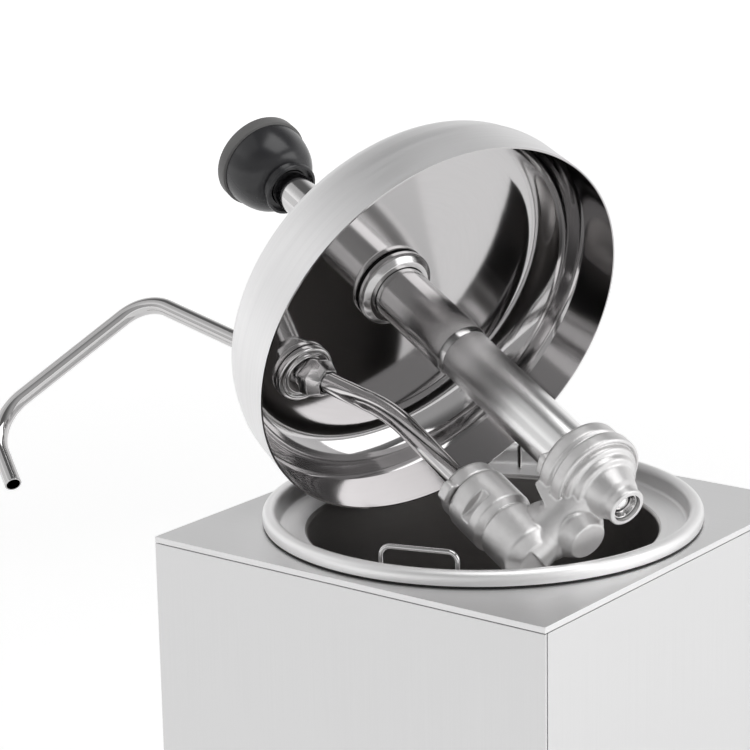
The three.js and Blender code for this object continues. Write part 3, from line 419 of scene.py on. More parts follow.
def brushed_sheet(name, scale, color, roughness=(0.3, 0.42)):
    """Sheet with a fine straight grain: scale is how fast it changes each way, per metre."""
    n = Nodes(name)
    grain = n.noise(n.place(scale), 3.0, 0.6)
    cloud = n.noise(n.place((9, 9, 5)), 2.0)
    n.set(Base_Color=n.colors(grain, color, shaded(color, 0.94)), Metallic=1.0)
    n.set(Roughness=n.math("ADD", n.between(grain, *roughness), n.between(cloud, -0.03, 0.03)))
    n.bump((grain, 0.006))
    return n.material


def turned_steel(name, roughness, color=(0.62, 0.612, 0.612), depth=0.002, marks=(1500, 1500, 6), wave=0.0,
                 within=PUMP):
    """Steel spun or polished round a frame's Z. Its marks change with the radius, height and turn."""
    n = Nodes(name)
    ring = n.noise(n.turned(*marks, within), 2.0, 0.6)
    cloud = n.even(14, 1.0)
    worn = n.between(ring, roughness * 0.8, roughness * 1.2)
    n.set(Base_Color=n.colors(ring, color, shaded(color, 0.94)), Metallic=1.0)
    n.set(Roughness=n.math("ADD", worn, n.between(cloud, 0, 0.02)))
    n.bump((ring, depth), (cloud, wave))
    return n.material


def cast_steel(name):
    n = Nodes(name)
    fine = n.noise(n.place((1400, 1400, 1400)), 3.0, 0.6)
    lumps = n.even(160, 2.0)
    n.set(Base_Color=n.colors(lumps, (0.8, 0.792, 0.79), (0.62, 0.612, 0.61)), Metallic=1.0)
    n.set(Roughness=n.between(fine, 0.36, 0.5))
    n.bump((fine, 0.02), (lumps, 0.2))
    return n.material


def plated(name, color=(0.62, 0.62, 0.60), roughness=0.42):
    n = Nodes(name)
    fine, cloud = n.even(900, 3.0), n.even(60, 2.0)
    n.set(Base_Color=n.colors(cloud, color, shaded(color, 0.85)), Metallic=1.0)
    n.set(Roughness=n.between(fine, roughness - 0.08, roughness + 0.08))
    n.bump((fine, 0.006))
    return n.material


def moulded(name, color, roughness, depth, scale=1800, variation=0.25):
    n = Nodes(name)
    fine, cloud = n.even(scale, 2.0), n.even(45, 3.0)
    worn = n.between(cloud, roughness - 0.04, roughness + 0.04)
    n.set(Base_Color=n.colors(cloud, color, shaded(color, 1 - variation)))
    n.set(Roughness=n.math("ADD", worn, n.between(fine, -0.02, 0.02)))
    n.bump((fine, depth))
    return n.material


def fibrous(name, color):
    n = Nodes(name)
    fibre = n.noise(n.place((700, 700, 120)), 4.0, 0.7)
    n.set(Base_Color=n.colors(fibre, color, shaded(color, 0.7)), Roughness=0.95)
    n.bump((fibre, 0.4))
    return n.material


def lens(name, color):
    n = Nodes(name)
    facets = n.add("TexWave", {"Vector": n.place(), "Scale": 260.0}, out=1)
    cloud = n.even(200, 2.0)
    n.set(Base_Color=n.colors(cloud, color, shaded(color, 0.8)), Roughness=0.12)
    n.bump((facets, 0.03))
    n.set(Transmission_Weight=0.3, IOR=1.49)
    return n.material


# Marks that run round the frame's Z, and marks that run along it.
FINE_RINGS, WIDE_RINGS, LENGTHWISE = (1500, 1500, 5), (900, 900, 3), (0, 25, 90)

FRONT_SHEET = brushed_sheet("front_sheet", (2600, 2600, 14), (0.72, 0.718, 0.72))
TOP_SHEET = brushed_sheet("top_sheet", (14, 2600, 2600), (0.82, 0.818, 0.82), (0.42, 0.54))
MIRROR = turned_steel("lid_inside", 0.07, (0.54, 0.53, 0.532), marks=WIDE_RINGS, wave=0.04)
SATIN = turned_steel("lid_outside", 0.46, (0.86, 0.855, 0.858), marks=(600, 600, 1), wave=0.02)
POLISHED = turned_steel("polished_steel", 0.1, marks=FINE_RINGS)
SLEEVE = turned_steel("sleeve_steel", 0.16, (0.56, 0.552, 0.552), 0.0008, LENGTHWISE)
CYLINDER = turned_steel("cylinder_steel", 0.24, (0.9, 0.895, 0.895), 0.0008, LENGTHWISE)
TUBE = turned_steel("tube_steel", 0.07, (0.6, 0.592, 0.592), 0.0006)
POT_STEEL = turned_steel("pot_steel", 0.3, (0.54, 0.526, 0.52), 0.03, (1100, 1100, 2), within=MOUTH)
# The pot's rim and shoulder: the wall's steel with a rougher finish, painted lighter as painted light.
PAINTED_LIGHT_RIM_STEEL = turned_steel("rim_steel_painted_light", 0.46, (0.95, 0.945, 0.945), 0.02, (1200, 1200, 2), within=MOUTH)
CAST = cast_steel("casting")
ZINC = plated("zinc_plate")
KNOB_BOWL = moulded("knob_bowl", (0.03, 0.03, 0.033), 0.26, 0.002)
# The knob's top band: its matte finish is real, and its lighter grey is painted light on its lit top.
KNOB_BAND_PAINTED_LIGHT = moulded("knob_band_painted_light", (0.17, 0.168, 0.166), 0.5, 0.03)
BLACK = moulded("black_plastic", (0.022, 0.022, 0.024), 0.32, 0.01)
RUBBER = moulded("rubber", (0.016, 0.016, 0.016), 0.7, 0.03, 1400)
WOOL = fibrous("glass_wool", (0.72, 0.68, 0.54))
CERAMIC = moulded("ceramic", (0.80, 0.77, 0.70), 0.6, 0.02, 1200, 0.08)
COPPER = plated("copper", (0.75, 0.40, 0.25), 0.3)
AMBER = lens("amber_lens", (0.75, 0.16, 0.02))
WHITE_INK = moulded("white_ink", (0.85, 0.85, 0.84), 0.5, 0.003, 1500, 0.03)


def dressed(obj, material, body, *nodes):
    """The piece gets its material, moves with its body and stands for the CAD nodes."""
    if not obj.data.materials:
        obj.data.materials.append(material)
    obj.data.transform(obj.matrix_world)
    obj.matrix_world = Matrix.Identity(4)
    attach(obj, body)
    if nodes:
        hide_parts(*nodes)
    return obj


# Cabinet. The wrap's front edge is moved back by the seam, and sheet faces past a size in mm2 stay flat.

SEAM, WRAP_START = 0.5, -98.6
SHEET_FACE = 20
FOOT_AT, FOOT_HEAD = 80, -10.3
FOOT = rounded([(4.9, -12), (9, -12), (11, 1.3, 0.2), (2.3, 1.3), (2.3, -7), (4.9, -7)], 0.7)
FOOT_SCREW = rounded([
    (0, FOOT_HEAD), (2.6, FOOT_HEAD, 1.2), (4.3, -9, 0.6), (4.3, -7.3, 0.2), (2, -7.3, 0), (2, 7, 0.4),
    (0, 7),
], 0.2)
CASE_SCREW = rounded([(0, 0.02), (3.4, 0.02, 0), (3.4, 0.9, 0.5), (2.2, 1.9, 1), (0, 2)], 0.4)
CASE_SCREW_Z, REAR_SCREWS, SIDE_SCREWS = 8, (-70, 0, 70), (-60, 60)


def cross_headed(screw, length, width, depth, middle, place):
    """A screw with the cross recess cut in its head."""
    sizes = (length, width, depth), (width, length, depth)
    return combined(screw, "DIFFERENCE", *(block("cross", size, middle, place) for size in sizes))


def cabinet():
    """The sheets are copies of the CAD nodes' meshes with soft edges. Feet and foot screws are turned."""
    for node, material, edge in (
        ("top_panel", TOP_SHEET, 0.45),
        ("front_panel", FRONT_SHEET, 0.3),
        ("body_wrap", FRONT_SHEET, 0.3),
        ("base_plate", ZINC, 0.3),
    ):
        looks = copied(node, node + "_looks")
        if node == "body_wrap":
            for vertex in looks.data.vertices:
                vertex.co.y += SEAM * MM if vertex.co.y < WRAP_START * MM else 0
        softened(looks, edge, steps=3)
        for face in looks.data.polygons:
            face.use_smooth = face.area < SHEET_FACE * MM ** 2
        dressed(looks, material, "housing", node)
    for depth, y in (("front", -FOOT_AT), ("rear", FOOT_AT)):
        for side, x in (("left", -FOOT_AT), ("right", FOOT_AT)):
            name = f"foot_{depth}_{side}"
            dressed(spun(name + "_looks", FOOT, ROW, 48, shift=(x, y)), RUBBER, "housing", name)
            name = f"foot_screw_{depth}_{side}"
            screw = spun(name + "_looks", FOOT_SCREW, ROW, 32, shift=(x, y))
            cross_headed(screw, 4, 0.9, 2.6, (x, y, FOOT_HEAD), ROW)
            dressed(screw, ZINC, "housing", name)


def case_screws():
    """Pan heads along the wrap's lower edge, which hold it to the base."""
    spots = [(Vector((x, HALF, CASE_SCREW_Z)), Vector((0, 1, 0))) for x in REAR_SCREWS]
    for side in (-1, 1):
        out = Vector((side, 0, 0))
        spots += [(Vector((side * HALF, y, CASE_SCREW_Z)), out) for y in SIDE_SCREWS]
    for i, (place, out) in enumerate(spots):
        facing = rigid(place, Vector((0, 0, 1)), out)
        screw = spun(f"case_screw_{i}", CASE_SCREW, facing, 32)
        dressed(cross_headed(screw, 3, 0.8, 2, (0, 0, 2), facing), ZINC, "housing")


# Controls, in frames whose Z points forward out of the front panel

FRONT_Y = -HALF
CONTROL_Z = 40
DIAL_X, SWITCH_X, LAMP_X = 35, -35, 0
TICK_RADIUS, TICK_FORWARD, TICK_FIRST, TICK_STEP = 17.75, 5.55, 90, 30


def facing_front(x):
    return rigid(Vector((x, FRONT_Y, CONTROL_Z)), Vector((1, 0, 0)), Vector((0, -1, 0)))


def dial():
    """The ticks round its skirt turn with it, and the index on the panel stands still."""
    place = facing_front(DIAL_X)
    skirt = [(0, 3), (18.5, 3, 0.3), (18.5, 4.6, 0.6), (17.2, 6.4, 0.6), (15.6, 15, 1.2), (0, 15)]
    body = spun("thermostat_dial_looks", rounded(skirt, 0.4), place, 96)
    grooves = [drum("groove", 1.1, 7.5, 17, place, 12, shift=spot) for spot in regular(17, 24)]
    combined(body, "DIFFERENCE", merged("grooves", grooves))
    outline = rounded([(-3.5, -14.6), (3.5, -14.6), (3.5, 14.6), (-3.5, 14.6)], 2.6, 5)
    combined(body, "UNION", softened(prism("grip", outline, 12.5, 20, place), 0.7, 3))
    combined(body, "DIFFERENCE", drum("bore", 3.3, 1, 13, place))
    dressed(body, BLACK, "dial", "thermostat_dial")
    dressed(block("dial_pointer", (1, 8, 0.24), (0, 9.4, 20.06), place), WHITE_INK, "dial")
    for i in range(10):
        a = math.radians(TICK_FIRST + TICK_STEP * i)
        across, up = math.cos(a), math.sin(a)
        spot = Vector((DIAL_X + TICK_RADIUS * across, FRONT_Y - TICK_FORWARD, CONTROL_Z + TICK_RADIUS * up))
        tick = rigid(spot, Vector((-up, 0, across)), Vector((0, -1, 0)))
        dressed(block(f"dial_tick_{i}", (0.5, 1.0, 0.5), (0, 0, 0), tick), WHITE_INK, "dial")
    dressed(block("dial_index", (0.9, 3.6, 0.1), (0, 21.5, 0.06), place), BLACK, "housing")


ROCKER_TILT, ROCKER_HALF, ROCKER_FORWARD = 10, 6.8, 1.3
ASIDE, MARK_AT = 30, (5.6, 0.95)


def switch():
    """The rocker's outline is rounded aside, because rounded() leaves a point on the axis as it is."""
    place = facing_front(SWITCH_X)
    body = softened(block("bezel", (21, 28, 2), (0, 0, 1.3), place), 0.7, 3)
    combined(body, "UNION", softened(block("box", (17.6, 24.6, 18.5), (0, 0, -8.4), place), 0.3))
    combined(body, "DIFFERENCE", block("well", (14.8, 21.8, 8), (0, 0, -0.7), place))
    body.name = "switch_housing_looks"
    dressed(body, BLACK, "housing", "switch_housing")
    key = [(-10.2, 1.8, 0.3), (0, 0, 8), (10.2, 1.8, 0.3), (9.3, -1.8, 0.5), (0, -5, 1), (-9.3, -1.8, 0.5)]
    outline = rounded([(point[0] + ASIDE, *point[1:]) for point in key], 0.4, 6)
    outline = [(x - ASIDE, y) for x, y in outline]
    pivot = Matrix.Translation(Vector((SWITCH_X, FRONT_Y - ROCKER_FORWARD, CONTROL_Z)) * MM)
    lying = Matrix(((0, 0, 1, 0), (0, -1, 0, 0), (1, 0, 0, 0), (0, 0, 0, 1)))
    place = pivot @ (Matrix.Rotation(math.radians(ROCKER_TILT), 4, "X") @ lying)
    rocker = prism("switch_rocker_looks", outline, -ROCKER_HALF, ROCKER_HALF, place, 25)
    dressed(softened(rocker, 0.35, 3), BLACK, "rocker", "switch_rocker")
    across, height = MARK_AT
    bar = block("switch_on_mark", (3.6, 0.12, 0.6), (across, height, 0), place)
    dressed(bar, WHITE_INK, "rocker")
    ring = [(1.3, -0.06), (1.8, -0.06), (1.8, 0.06), (1.3, 0.06)]
    upright = Matrix.Rotation(math.radians(-90), 4, "X")
    upright = place @ Matrix.Translation(Vector((-across, height, 0)) * MM) @ upright
    dressed(spun("switch_off_mark", ring, upright, 32), WHITE_INK, "rocker")


def lamp():
    """The indicator's lens and its bezel."""
    place = facing_front(LAMP_X)
    radius, start, rise = 4.6, 1.6, 2.4
    crown = [(radius * math.cos(a), start + rise * math.sin(a)) for a in (0.2, 0.5, 0.8, 1.1, 1.35)]
    dome = [(0, -16), (radius, -16), (radius, start)] + crown + [(0, start + rise)]
    dressed(spun("indicator_lamp_looks", dome, place, 48, 60), AMBER, "housing", "indicator_lamp")
    bezel = rounded([(4.9, 0.3), (6.6, 0.3, 0.2), (6.6, 1.9, 0.8), (4.9, 1.9, 0.3)], 0.2)
    dressed(spun("lamp_bezel_looks", bezel, place, 64), BLACK, "housing", "lamp_bezel")


GLAND = Vector((55, HALF, 30))


def inlet():
    """The cable gland low on the rear wall."""
    place = rigid(GLAND, Vector((1, 0, 0)), Vector((0, 1, 0)))
    body = prism("cable_gland_looks", regular(10.5, 6), 0.3, 6.3, place)
    cone = [(0, 0.3), (9.6, 0.3, 0.2), (10.6, 1.3, 0.3), (10.6, 5.4, 0.3), (9.4, 6.3, 0.3), (0, 6.3)]
    combined(body, "INTERSECT", spun("cone", rounded(cone, 0.3), place, 64))
    dome = [(0, 5.8), (9, 5.8, 0), (9, 8.4, 3), (6.6, 13.6, 3), (5.4, 15, 0.8), (0, 15)]
    dome = spun("dome", rounded(dome, 0.3), place, 64)
    grooves = [drum("groove", 0.8, 6.6, 20, place, 10, shift=spot) for spot in regular(9.3, 16)]
    combined(dome, "DIFFERENCE", merged("grooves", grooves))
    combined(body, "UNION", dome, drum("thread", 7.6, -10, 3, place))
    combined(body, "DIFFERENCE", drum("bore", 4.2, -12, 18, place))
    dressed(body, BLACK, "housing", "cable_gland")


# Pot, and the vessel that it hangs in, in the mouth's frame. SHEET is the wall of all drawn pieces.

SHEET = 0.8


def vessel():
    inside = [(91.3, -1.3), (91.3, -146)] + arc(85.3, -146, 6, 0, -90, 6)[1:] + [(0, -152)]
    outside = thickened(inside, SHEET)[len(inside):]
    post = [(0, -174.8), (3, -174.8), (3, -152.8)]
    flange = [(92.1, -2.1), (97, -2.1), (97, -1.3)]
    outline = inside + post + outside[1:-1] + flange
    dressed(spun("water_vessel_looks", outline, MOUTH, 128), POT_STEEL, "housing", "water_vessel")
    # The seal reaches out to just under the rim's edge. Its black there is partly the real seal and partly
    # painted shade in the gap under the rim.
    seal = rounded([(91.2, 0.3), (94.6, 0.3), (94.6, 0.9), (93, 0.9), (91.2, 1.3)], 0.15)
    dressed(spun("rim_seal_looks", seal, MOUTH, 160), RUBBER, "housing", "rim_seal")


RIM_RADIUS, RIM_SIZE = 91.8, 3.2
RIM_HEIGHT = 1.6 + RIM_SIZE * math.sqrt(0.5)
SHOULDER = [(88.6, -0.7, 2), (87.6, -1.7, 1.6), (76.5, -3.3, 1.8), (75.5, -4.3, 1.8)]
PAINTED_LIGHT_FROM_RADIUS = 77
HANDLE = [(-16.4, -2.05), (-16.4, 11.4), (16.4, 11.4), (16.4, -2.05)]
HANDLE_RADIUS = 81.5


def pot():
    """Its rim, neck, shoulder and wall are one sheet. The rim and the shoulder have a rougher finish, and
    their steel is painted lighter than the wall's, as painted light.
    """
    line = [(94.7, 1.1), (95, 2.2)] + arc(RIM_RADIUS, RIM_HEIGHT, RIM_SIZE, 0, 180, 18)
    line += rounded([line[-1], *SHOULDER, (75.5, -136)], 1, 5, closed=False)[1:]
    line += arc(69.5, -136, 6, 0, -90, 8)[1:] + [(0, -142)]
    body = spun("pot_looks", thickened(line, SHEET), MOUTH, 192, 50)
    body.data.materials.append(POT_STEEL)
    body.data.materials.append(PAINTED_LIGHT_RIM_STEEL)
    # Faces past this radius, the rim and the shoulder, get the lighter steel: painted light.
    for face in body.data.polygons:
        radius = max(math.hypot(*body.data.vertices[v].co.xy) for v in face.vertices)
        if radius > PAINTED_LIGHT_FROM_RADIUS * MM:
            face.material_index = 1
    dressed(body, POT_STEEL, "pot", "pot")
    for name, azimuth in (("front", -73), ("rear", 102)):
        turn = Matrix.Rotation(math.radians(azimuth), 4, "Z")
        corners = [turn @ Vector((HANDLE_RADIUS, y, z)) for y, z in HANDLE]
        wire = swept(f"pot_handle_{name}_looks", bent(corners, 4, 10), 1.1, MOUTH, 24)
        dressed(wire, POLISHED, "pot", f"pot_handle_{name}")


# Pump, in its own frame: Z up its axis, X from the cylinder to the discharge side

STEM_X, FITTING_X = 39.8, 55
ARM_Z = -113


def lid():
    """The spun lid, satin outside and bright inside, and the parts that hold it on the cylinder."""
    top = arc(71, 23.2, 18.6, 15, 90, 14) + [(60, 41.8), (40, 41.8), (20, 41.8), (13, 41.8)]
    inside = [(92, 0), (91, 20.5), (90.2, 22), (89.6, 23.6)] + top
    outside = [(92, 0), (91, 20.5), (90.7, 22.4), (90.2, 24.4)] + top
    shell = outside + thickened(inside, SHEET)[len(inside):]
    body = spun("lid_looks", shell, PUMP, 256, 25)
    hole = drum("hole", 8.6, 38, 44, PUMP, shift=(FITTING_X, 0))
    combined(body, "DIFFERENCE", hole, sharp=25)
    body.data.materials.append(SATIN)
    body.data.materials.append(MIRROR)
    for face in body.data.polygons:
        middle, normal = face.center, face.normal
        inward = normal.z < -0.5 or normal.x * middle.x + normal.y * middle.y < 0
        face.material_index = 1 if inward else 0
    dressed(body, SATIN, "pump", "lid")
    nut = prism("lid_lock_nut_looks", regular(19, 6), 42.1, 48.1, PUMP)
    cone = [(0, 42.1), (17.9, 42.1), (19.1, 43), (19.1, 46.8), (17.2, 48.1), (0, 48.1)]
    combined(nut, "INTERSECT", spun("cone", cone, PUMP, 96))
    combined(nut, "DIFFERENCE", drum("bore", 13, 40, 50, PUMP, 96))
    dressed(softened(nut, 0.25), POLISHED, "pump", "lid_lock_nut")
    collar = [(13, 34.4, 0.2), (15.2, 34.6, 1), (18.2, 37.0, 2.4), (18.2, 39.9, 0.5), (13, 39.9, 0.2)]
    dressed(spun("lid_collar_looks", rounded(collar, 0.5, 6), PUMP, 96), SLEEVE, "pump", "lid_collar")
    seal = rounded([(13, 40.0), (17.4, 40.0), (17.4, 40.8), (13, 40.8)], 0.2)
    dressed(spun("collar_seal_looks", seal, PUMP, 96), RUBBER, "pump", "collar_seal")


SPRING = {"low": -6.2, "high": 76.2, "radius": 7.9, "wire": 0.9, "turns": 8, "steps": 30}


def spring():
    """One helix from the seat up to the plunger's flange."""
    low, high, radius, wire = (SPRING[key] for key in ("low", "high", "radius", "wire"))
    stations = []
    for i in range(SPRING["steps"] * SPRING["turns"] + 1):
        a = 2 * math.pi * i / SPRING["steps"]
        height = low + (high - low) * i / (SPRING["steps"] * SPRING["turns"])
        stations.append(Vector((radius * math.cos(a), radius * math.sin(a), height)))
    coil = swept("return_spring_looks", stations, wire, PUMP, 12)
    dressed(coil, ZINC, "pump", "return_spring")
    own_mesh(coil)


def cylinder():
    upper = [
        (11.6, -17.4, 0.2), (11.9, -17.4, 0.1), (12.7, -14.4, 0.4), (12.7, 87.7, 0.4), (11.6, 87.7, 0.2),
    ]
    upper = spun("cylinder_upper_looks", rounded(upper, 0.2), PUMP, 128)
    dressed(upper, SLEEVE, "pump", "cylinder_upper")
    lower = [(10.9, -103.5), (11.9, -103.5), (11.9, -17.7), (11.3, -17.7), (11.3, -9.7), (10.9, -9.7)]
    lower = spun("cylinder_lower_looks", rounded(lower, 0.15), PUMP, 128)
    dressed(lower, CYLINDER, "pump", "cylinder_lower")
    collar = [
        (9.3, 81.7), (11.3, 81.7), (11.3, 88, 0), (13.6, 88, 0.4), (13.6, 99.4, 0.8), (12, 101, 0.8),
        (9.3, 101, 0.4),
    ]
    dressed(spun("top_collar_looks", rounded(collar, 0.2), PUMP, 96), POLISHED, "pump", "top_collar")
    spring()


KNOB_BASE, BAND_START = 125.7, 24.7


def plunger():
    """The knob's outline is in heights above its base: a flared ring, the bowl, the band and the crown."""
    tube = [
        (4.3, 77.4), (11.3, 77.4), (11.3, 81.4), (9, 81.4), (9, 131.7), (8, 131.7), (8, 81.4), (4.3, 81.4),
    ]
    tube = spun("plunger_tube_looks", rounded(tube, 0.2), PUMP, 96)
    dressed(tube, POLISHED, "plunger", "plunger_tube")
    turns = [math.radians(a) for a in range(6, 90, 7)]
    outline = [
        (0, 6.3), (9.3, 6.3), (9.3, 2.6), (11.2, 2.6), (11.6, 0), (12.6, 0), (13, 0.5), (13, 1.2),
        (12.4, 1.9), (11.2, 3.2),
        *((10.6 + 10.4 * math.sin(a), 5 + 20 * (1 - math.cos(a))) for a in turns),
        (21, 24.6), (22, 25.0), (22.1, 25.5), (22, 30.2), (21.6, 30.9),
        (20.6, 31.4), (17, 31.95), (12, 32.4), (6, 32.7), (0, 32.8),
    ]
    knob = spun("knob_looks", [(r, h + KNOB_BASE) for r, h in outline], PUMP, 96, 40)
    knob.data.materials.append(KNOB_BOWL)
    knob.data.materials.append(KNOB_BAND_PAINTED_LIGHT)
    # Faces above the band's start get the matte finish painted a lighter grey: painted light on the knob's
    # top.
    for face in knob.data.polygons:
        if face.center.z > (KNOB_BASE + BAND_START) * MM:
            face.material_index = 1
    dressed(knob, KNOB_BOWL, "plunger", "knob")


SCALLOP = {"turn": -15, "reach": 25.2, "outline": [(0, -90.2), (15, -90.2, 1), (15, -85.4, 1), (0, -85.4)]}
BOSS_AT, BELLY_AT, BELLY_Z, BELLY = (20.3, -5), (29, -3), -111, 12.6


def casting():
    """The valve body: its shells are cast together as one skin, and then bored."""
    head = [
        (0, -98.5), (19.5, -98.5, 1.4), (19.5, -104.6, 0.8), (18.2, -105.4, 0.5), (18.2, -106.6, 0.5),
        (20.5, -107.6, 1.0), (20.5, -113.2, 1.4), (19.0, -113.8, 0.2), (18.5, -112.6, 0.3),
        (17.7, -112.6, 0.3), (17.6, -115.6, 1.6), (15.2, -116.2, 1.0), (14.9, -119.2, 1.8),
        (12.4, -119.8, 1.2), (9.7, -126.6, 2.4), (8.4, -128.8, 1.2), (8.4, -132.8, 0.8), (0, -132.8),
    ]
    crown = [(0, -99), (11.0, -98.6, 1), (14.4, -94.8, 0.4), (14.4, -76, 1.8), (0, -76)]
    stem = [
        (0, -121), (9.0, -121, 1.4), (13.4, -116.4, 2.4), (13.4, -99.4, 1.2), (11.0, -96.4, 0.6), (0, -95),
    ]
    boss = [(0, -127.5), (8.2, -127.5, 0.4), (9.2, -125.8, 1), (11.8, -122, 3), (12.2, -110), (0, -110)]
    belly = [(0, BELLY_Z - BELLY)] + arc(0, BELLY_Z, BELLY, -84, 84, 28) + [(0, BELLY_Z + BELLY)]
    parts = [
        spun("head", rounded(head, 0.5), ROW, 128),
        spun("crown", rounded(crown, 0.5), ROW, 96, shift=(STEM_X, 0)),
        spun("stem", rounded(stem, 0.5), ROW, 96, shift=(STEM_X, 0)),
        spun("boss", rounded(boss, 0.4), ROW, 64, shift=BOSS_AT),
    ]
    along_x = Matrix.Translation(Vector((0, 0, ARM_Z)) * MM) @ Matrix.Rotation(math.radians(90), 4, "Y")
    arm = spun("arm", [(0, 0), (11.4, 0), (9.6, 18), (9.8, 30), (11.6, STEM_X), (0, STEM_X)], ROW, 64)
    arm.data.transform(along_x)
    web = rounded([(8, -98.6, 0), (19.2, -98.6, 1), (20.2, -101, 1), (23.6, ARM_Z, 0), (8, ARM_Z, 0)], 1, 5)
    rib = prism("rib", web, -9.6, 4.5, ROW)
    rib.data.transform(Matrix.Rotation(math.radians(90), 4, "X"))
    parts.append(spun("belly", belly, ROW, 64, shift=BELLY_AT))
    turn = Matrix.Rotation(math.radians(SCALLOP["turn"]), 4, "Z")
    pockets = []
    for side in (-1, 1):
        pocket = rounded(SCALLOP["outline"], 0.6)
        pocket = spun("pocket", pocket, ROW, 64, shift=(0, side * SCALLOP["reach"]))
        pocket.data.transform(Matrix.Translation(Vector((STEM_X, 0, 0)) * MM) @ turn)
        pockets.append(pocket)
    combined(parts[1], "DIFFERENCE", *pockets)
    body = merged("valve_body_looks", parts + [arm, rib])
    body.matrix_world = PUMP
    remeshed(body, 0.4, 4)
    cutters = [
        drum("socket", 12.2, -104.5, -90, PUMP, 96),
        drum("chamber", 9, -117, -98.5, PUMP),
        drum("port", 6.3, -140, -115, PUMP),
        drum("upper", 7, -106, -70, PUMP, shift=(STEM_X, 0)),
        drum("hole", 3.6, -116, -104, PUMP, 48, shift=(STEM_X, 0)),
        drum("lower", 5, -116, -108.6, PUMP, 48, shift=(STEM_X, 0)),
    ]
    passage = drum("passage", 4.5, 0, STEM_X, PUMP, 48)
    passage.data.transform(along_x)
    combined(body, "DIFFERENCE", *cutters, passage, sharp=50)
    dressed(body, CAST, "pump", "valve_body")


def lugged(name, collar, lugs, bore, turn, shift, spigot=0, shoulder=0.8):
    """A cast round collar (radius, low, high) with a lug at each side (reach, width, high)."""
    radius, low, high = collar
    reach, width, lug_high = lugs
    side = [
        (0, low), (radius, low, 0.6), (radius, high - shoulder, 1), (radius - shoulder, high, 1), (0, high),
    ]
    bar = [(-reach, -width / 2), (reach, -width / 2), (reach, width / 2), (-reach, width / 2)]
    parts = [
        spun("round", rounded(side, 0.4), ROW, 96),
        prism("bar", rounded(bar, 3, 6), low, lug_high, ROW),
    ]
    if spigot:
        parts.append(drum("spigot", spigot, low - 7, low + 1, ROW))
    result = merged(name, parts)
    turned = Matrix.Rotation(math.radians(turn), 4, "Z")
    result.data.transform(Matrix.Translation(Vector((*shift, 0)) * MM) @ turned)
    result.matrix_world = PUMP
    remeshed(result, 0.45, 4)
    cutter = drum("bore", bore, low - 20, high + 20, PUMP, 96, shift=shift)
    return combined(result, "DIFFERENCE", cutter, sharp=50)


BALL = 4.76


def valve():
    """The balls stand a gap above the edges of their seats' holes."""
    casting()
    lock = lugged("main_lock_collar_looks", (15.2, -98.2, -94.8), (18.4, 10, -94.8), 12.2, 45, (0, 0))
    dressed(lock, CAST, "pump", "main_lock_collar")
    cap = lugged("discharge_cap_looks", (13.4, -75.7, -66.7), (17, 9, -70.7), 5, 60, (STEM_X, 0), 6.7, 3)
    dressed(cap, CAST, "pump", "discharge_cap")
    seat = rounded([(5.4, -131.2, 0.5), (6, -131.2, 0.3), (6, -128.5), (4.2, -128.5, 0.3)], 0.2)
    dressed(spun("intake_seat_looks", seat, PUMP, 64), POLISHED, "pump", "intake_seat")
    for node, body, hole, edge, x in (
        ("intake_ball", "intake_valve", 3.9, -128.5, 0),
        ("discharge_ball", "discharge_valve", 3.6, -106, STEM_X),
    ):
        middle = edge + math.sqrt(BALL ** 2 - hole ** 2) + GAP
        outline = [(0, middle - BALL)] + arc(0, middle, BALL, -84, 84, 28) + [(0, middle + BALL)]
        dressed(spun(node + "_looks", outline, PUMP, 48, 60, shift=(x, 0)), CYLINDER, body, node)


LEAN, RUN, DROP = (math.radians(a) for a in (16, 7.8, 13.6))
LEAN_UP = Vector((math.sin(LEAN), 0, math.cos(LEAN)))
FITTING = Vector((FITTING_X, 0, 41.4))
SPOUT_ELBOW, SPOUT_RUN, SPOUT_DROP, SPOUT_BEND = 139.8, 94.3, 40.3, 22


def tubes():
    """The tube from the valve up to the lid's fitting, and the spout that goes on above it."""
    foot, knee = (Vector((STEM_X, 0, z)) for z in (-80, FITTING.z - (FITTING.x - STEM_X) / math.tan(LEAN)))
    route = bent([foot, knee, FITTING - LEAN_UP * GAP], 90, 24)
    feed = swept("discharge_tube_looks", route, 4.7, PUMP, 40, bore=3.9)
    dressed(feed, TUBE, "pump", "discharge_tube")
    elbow = FITTING + LEAN_UP * ((SPOUT_ELBOW - FITTING.z) / math.cos(LEAN))
    shoulder = elbow + Vector((math.cos(RUN), 0, math.sin(RUN))) * SPOUT_RUN
    outlet = shoulder + Vector((math.sin(DROP), 0, -math.cos(DROP))) * SPOUT_DROP
    route = bent([FITTING + LEAN_UP, elbow, shoulder, outlet], SPOUT_BEND, 20)
    spout = swept("spout_tube_looks", route, 4, PUMP, 40, bore=3.2)
    dressed(spout, TUBE, "pump", "spout_tube")


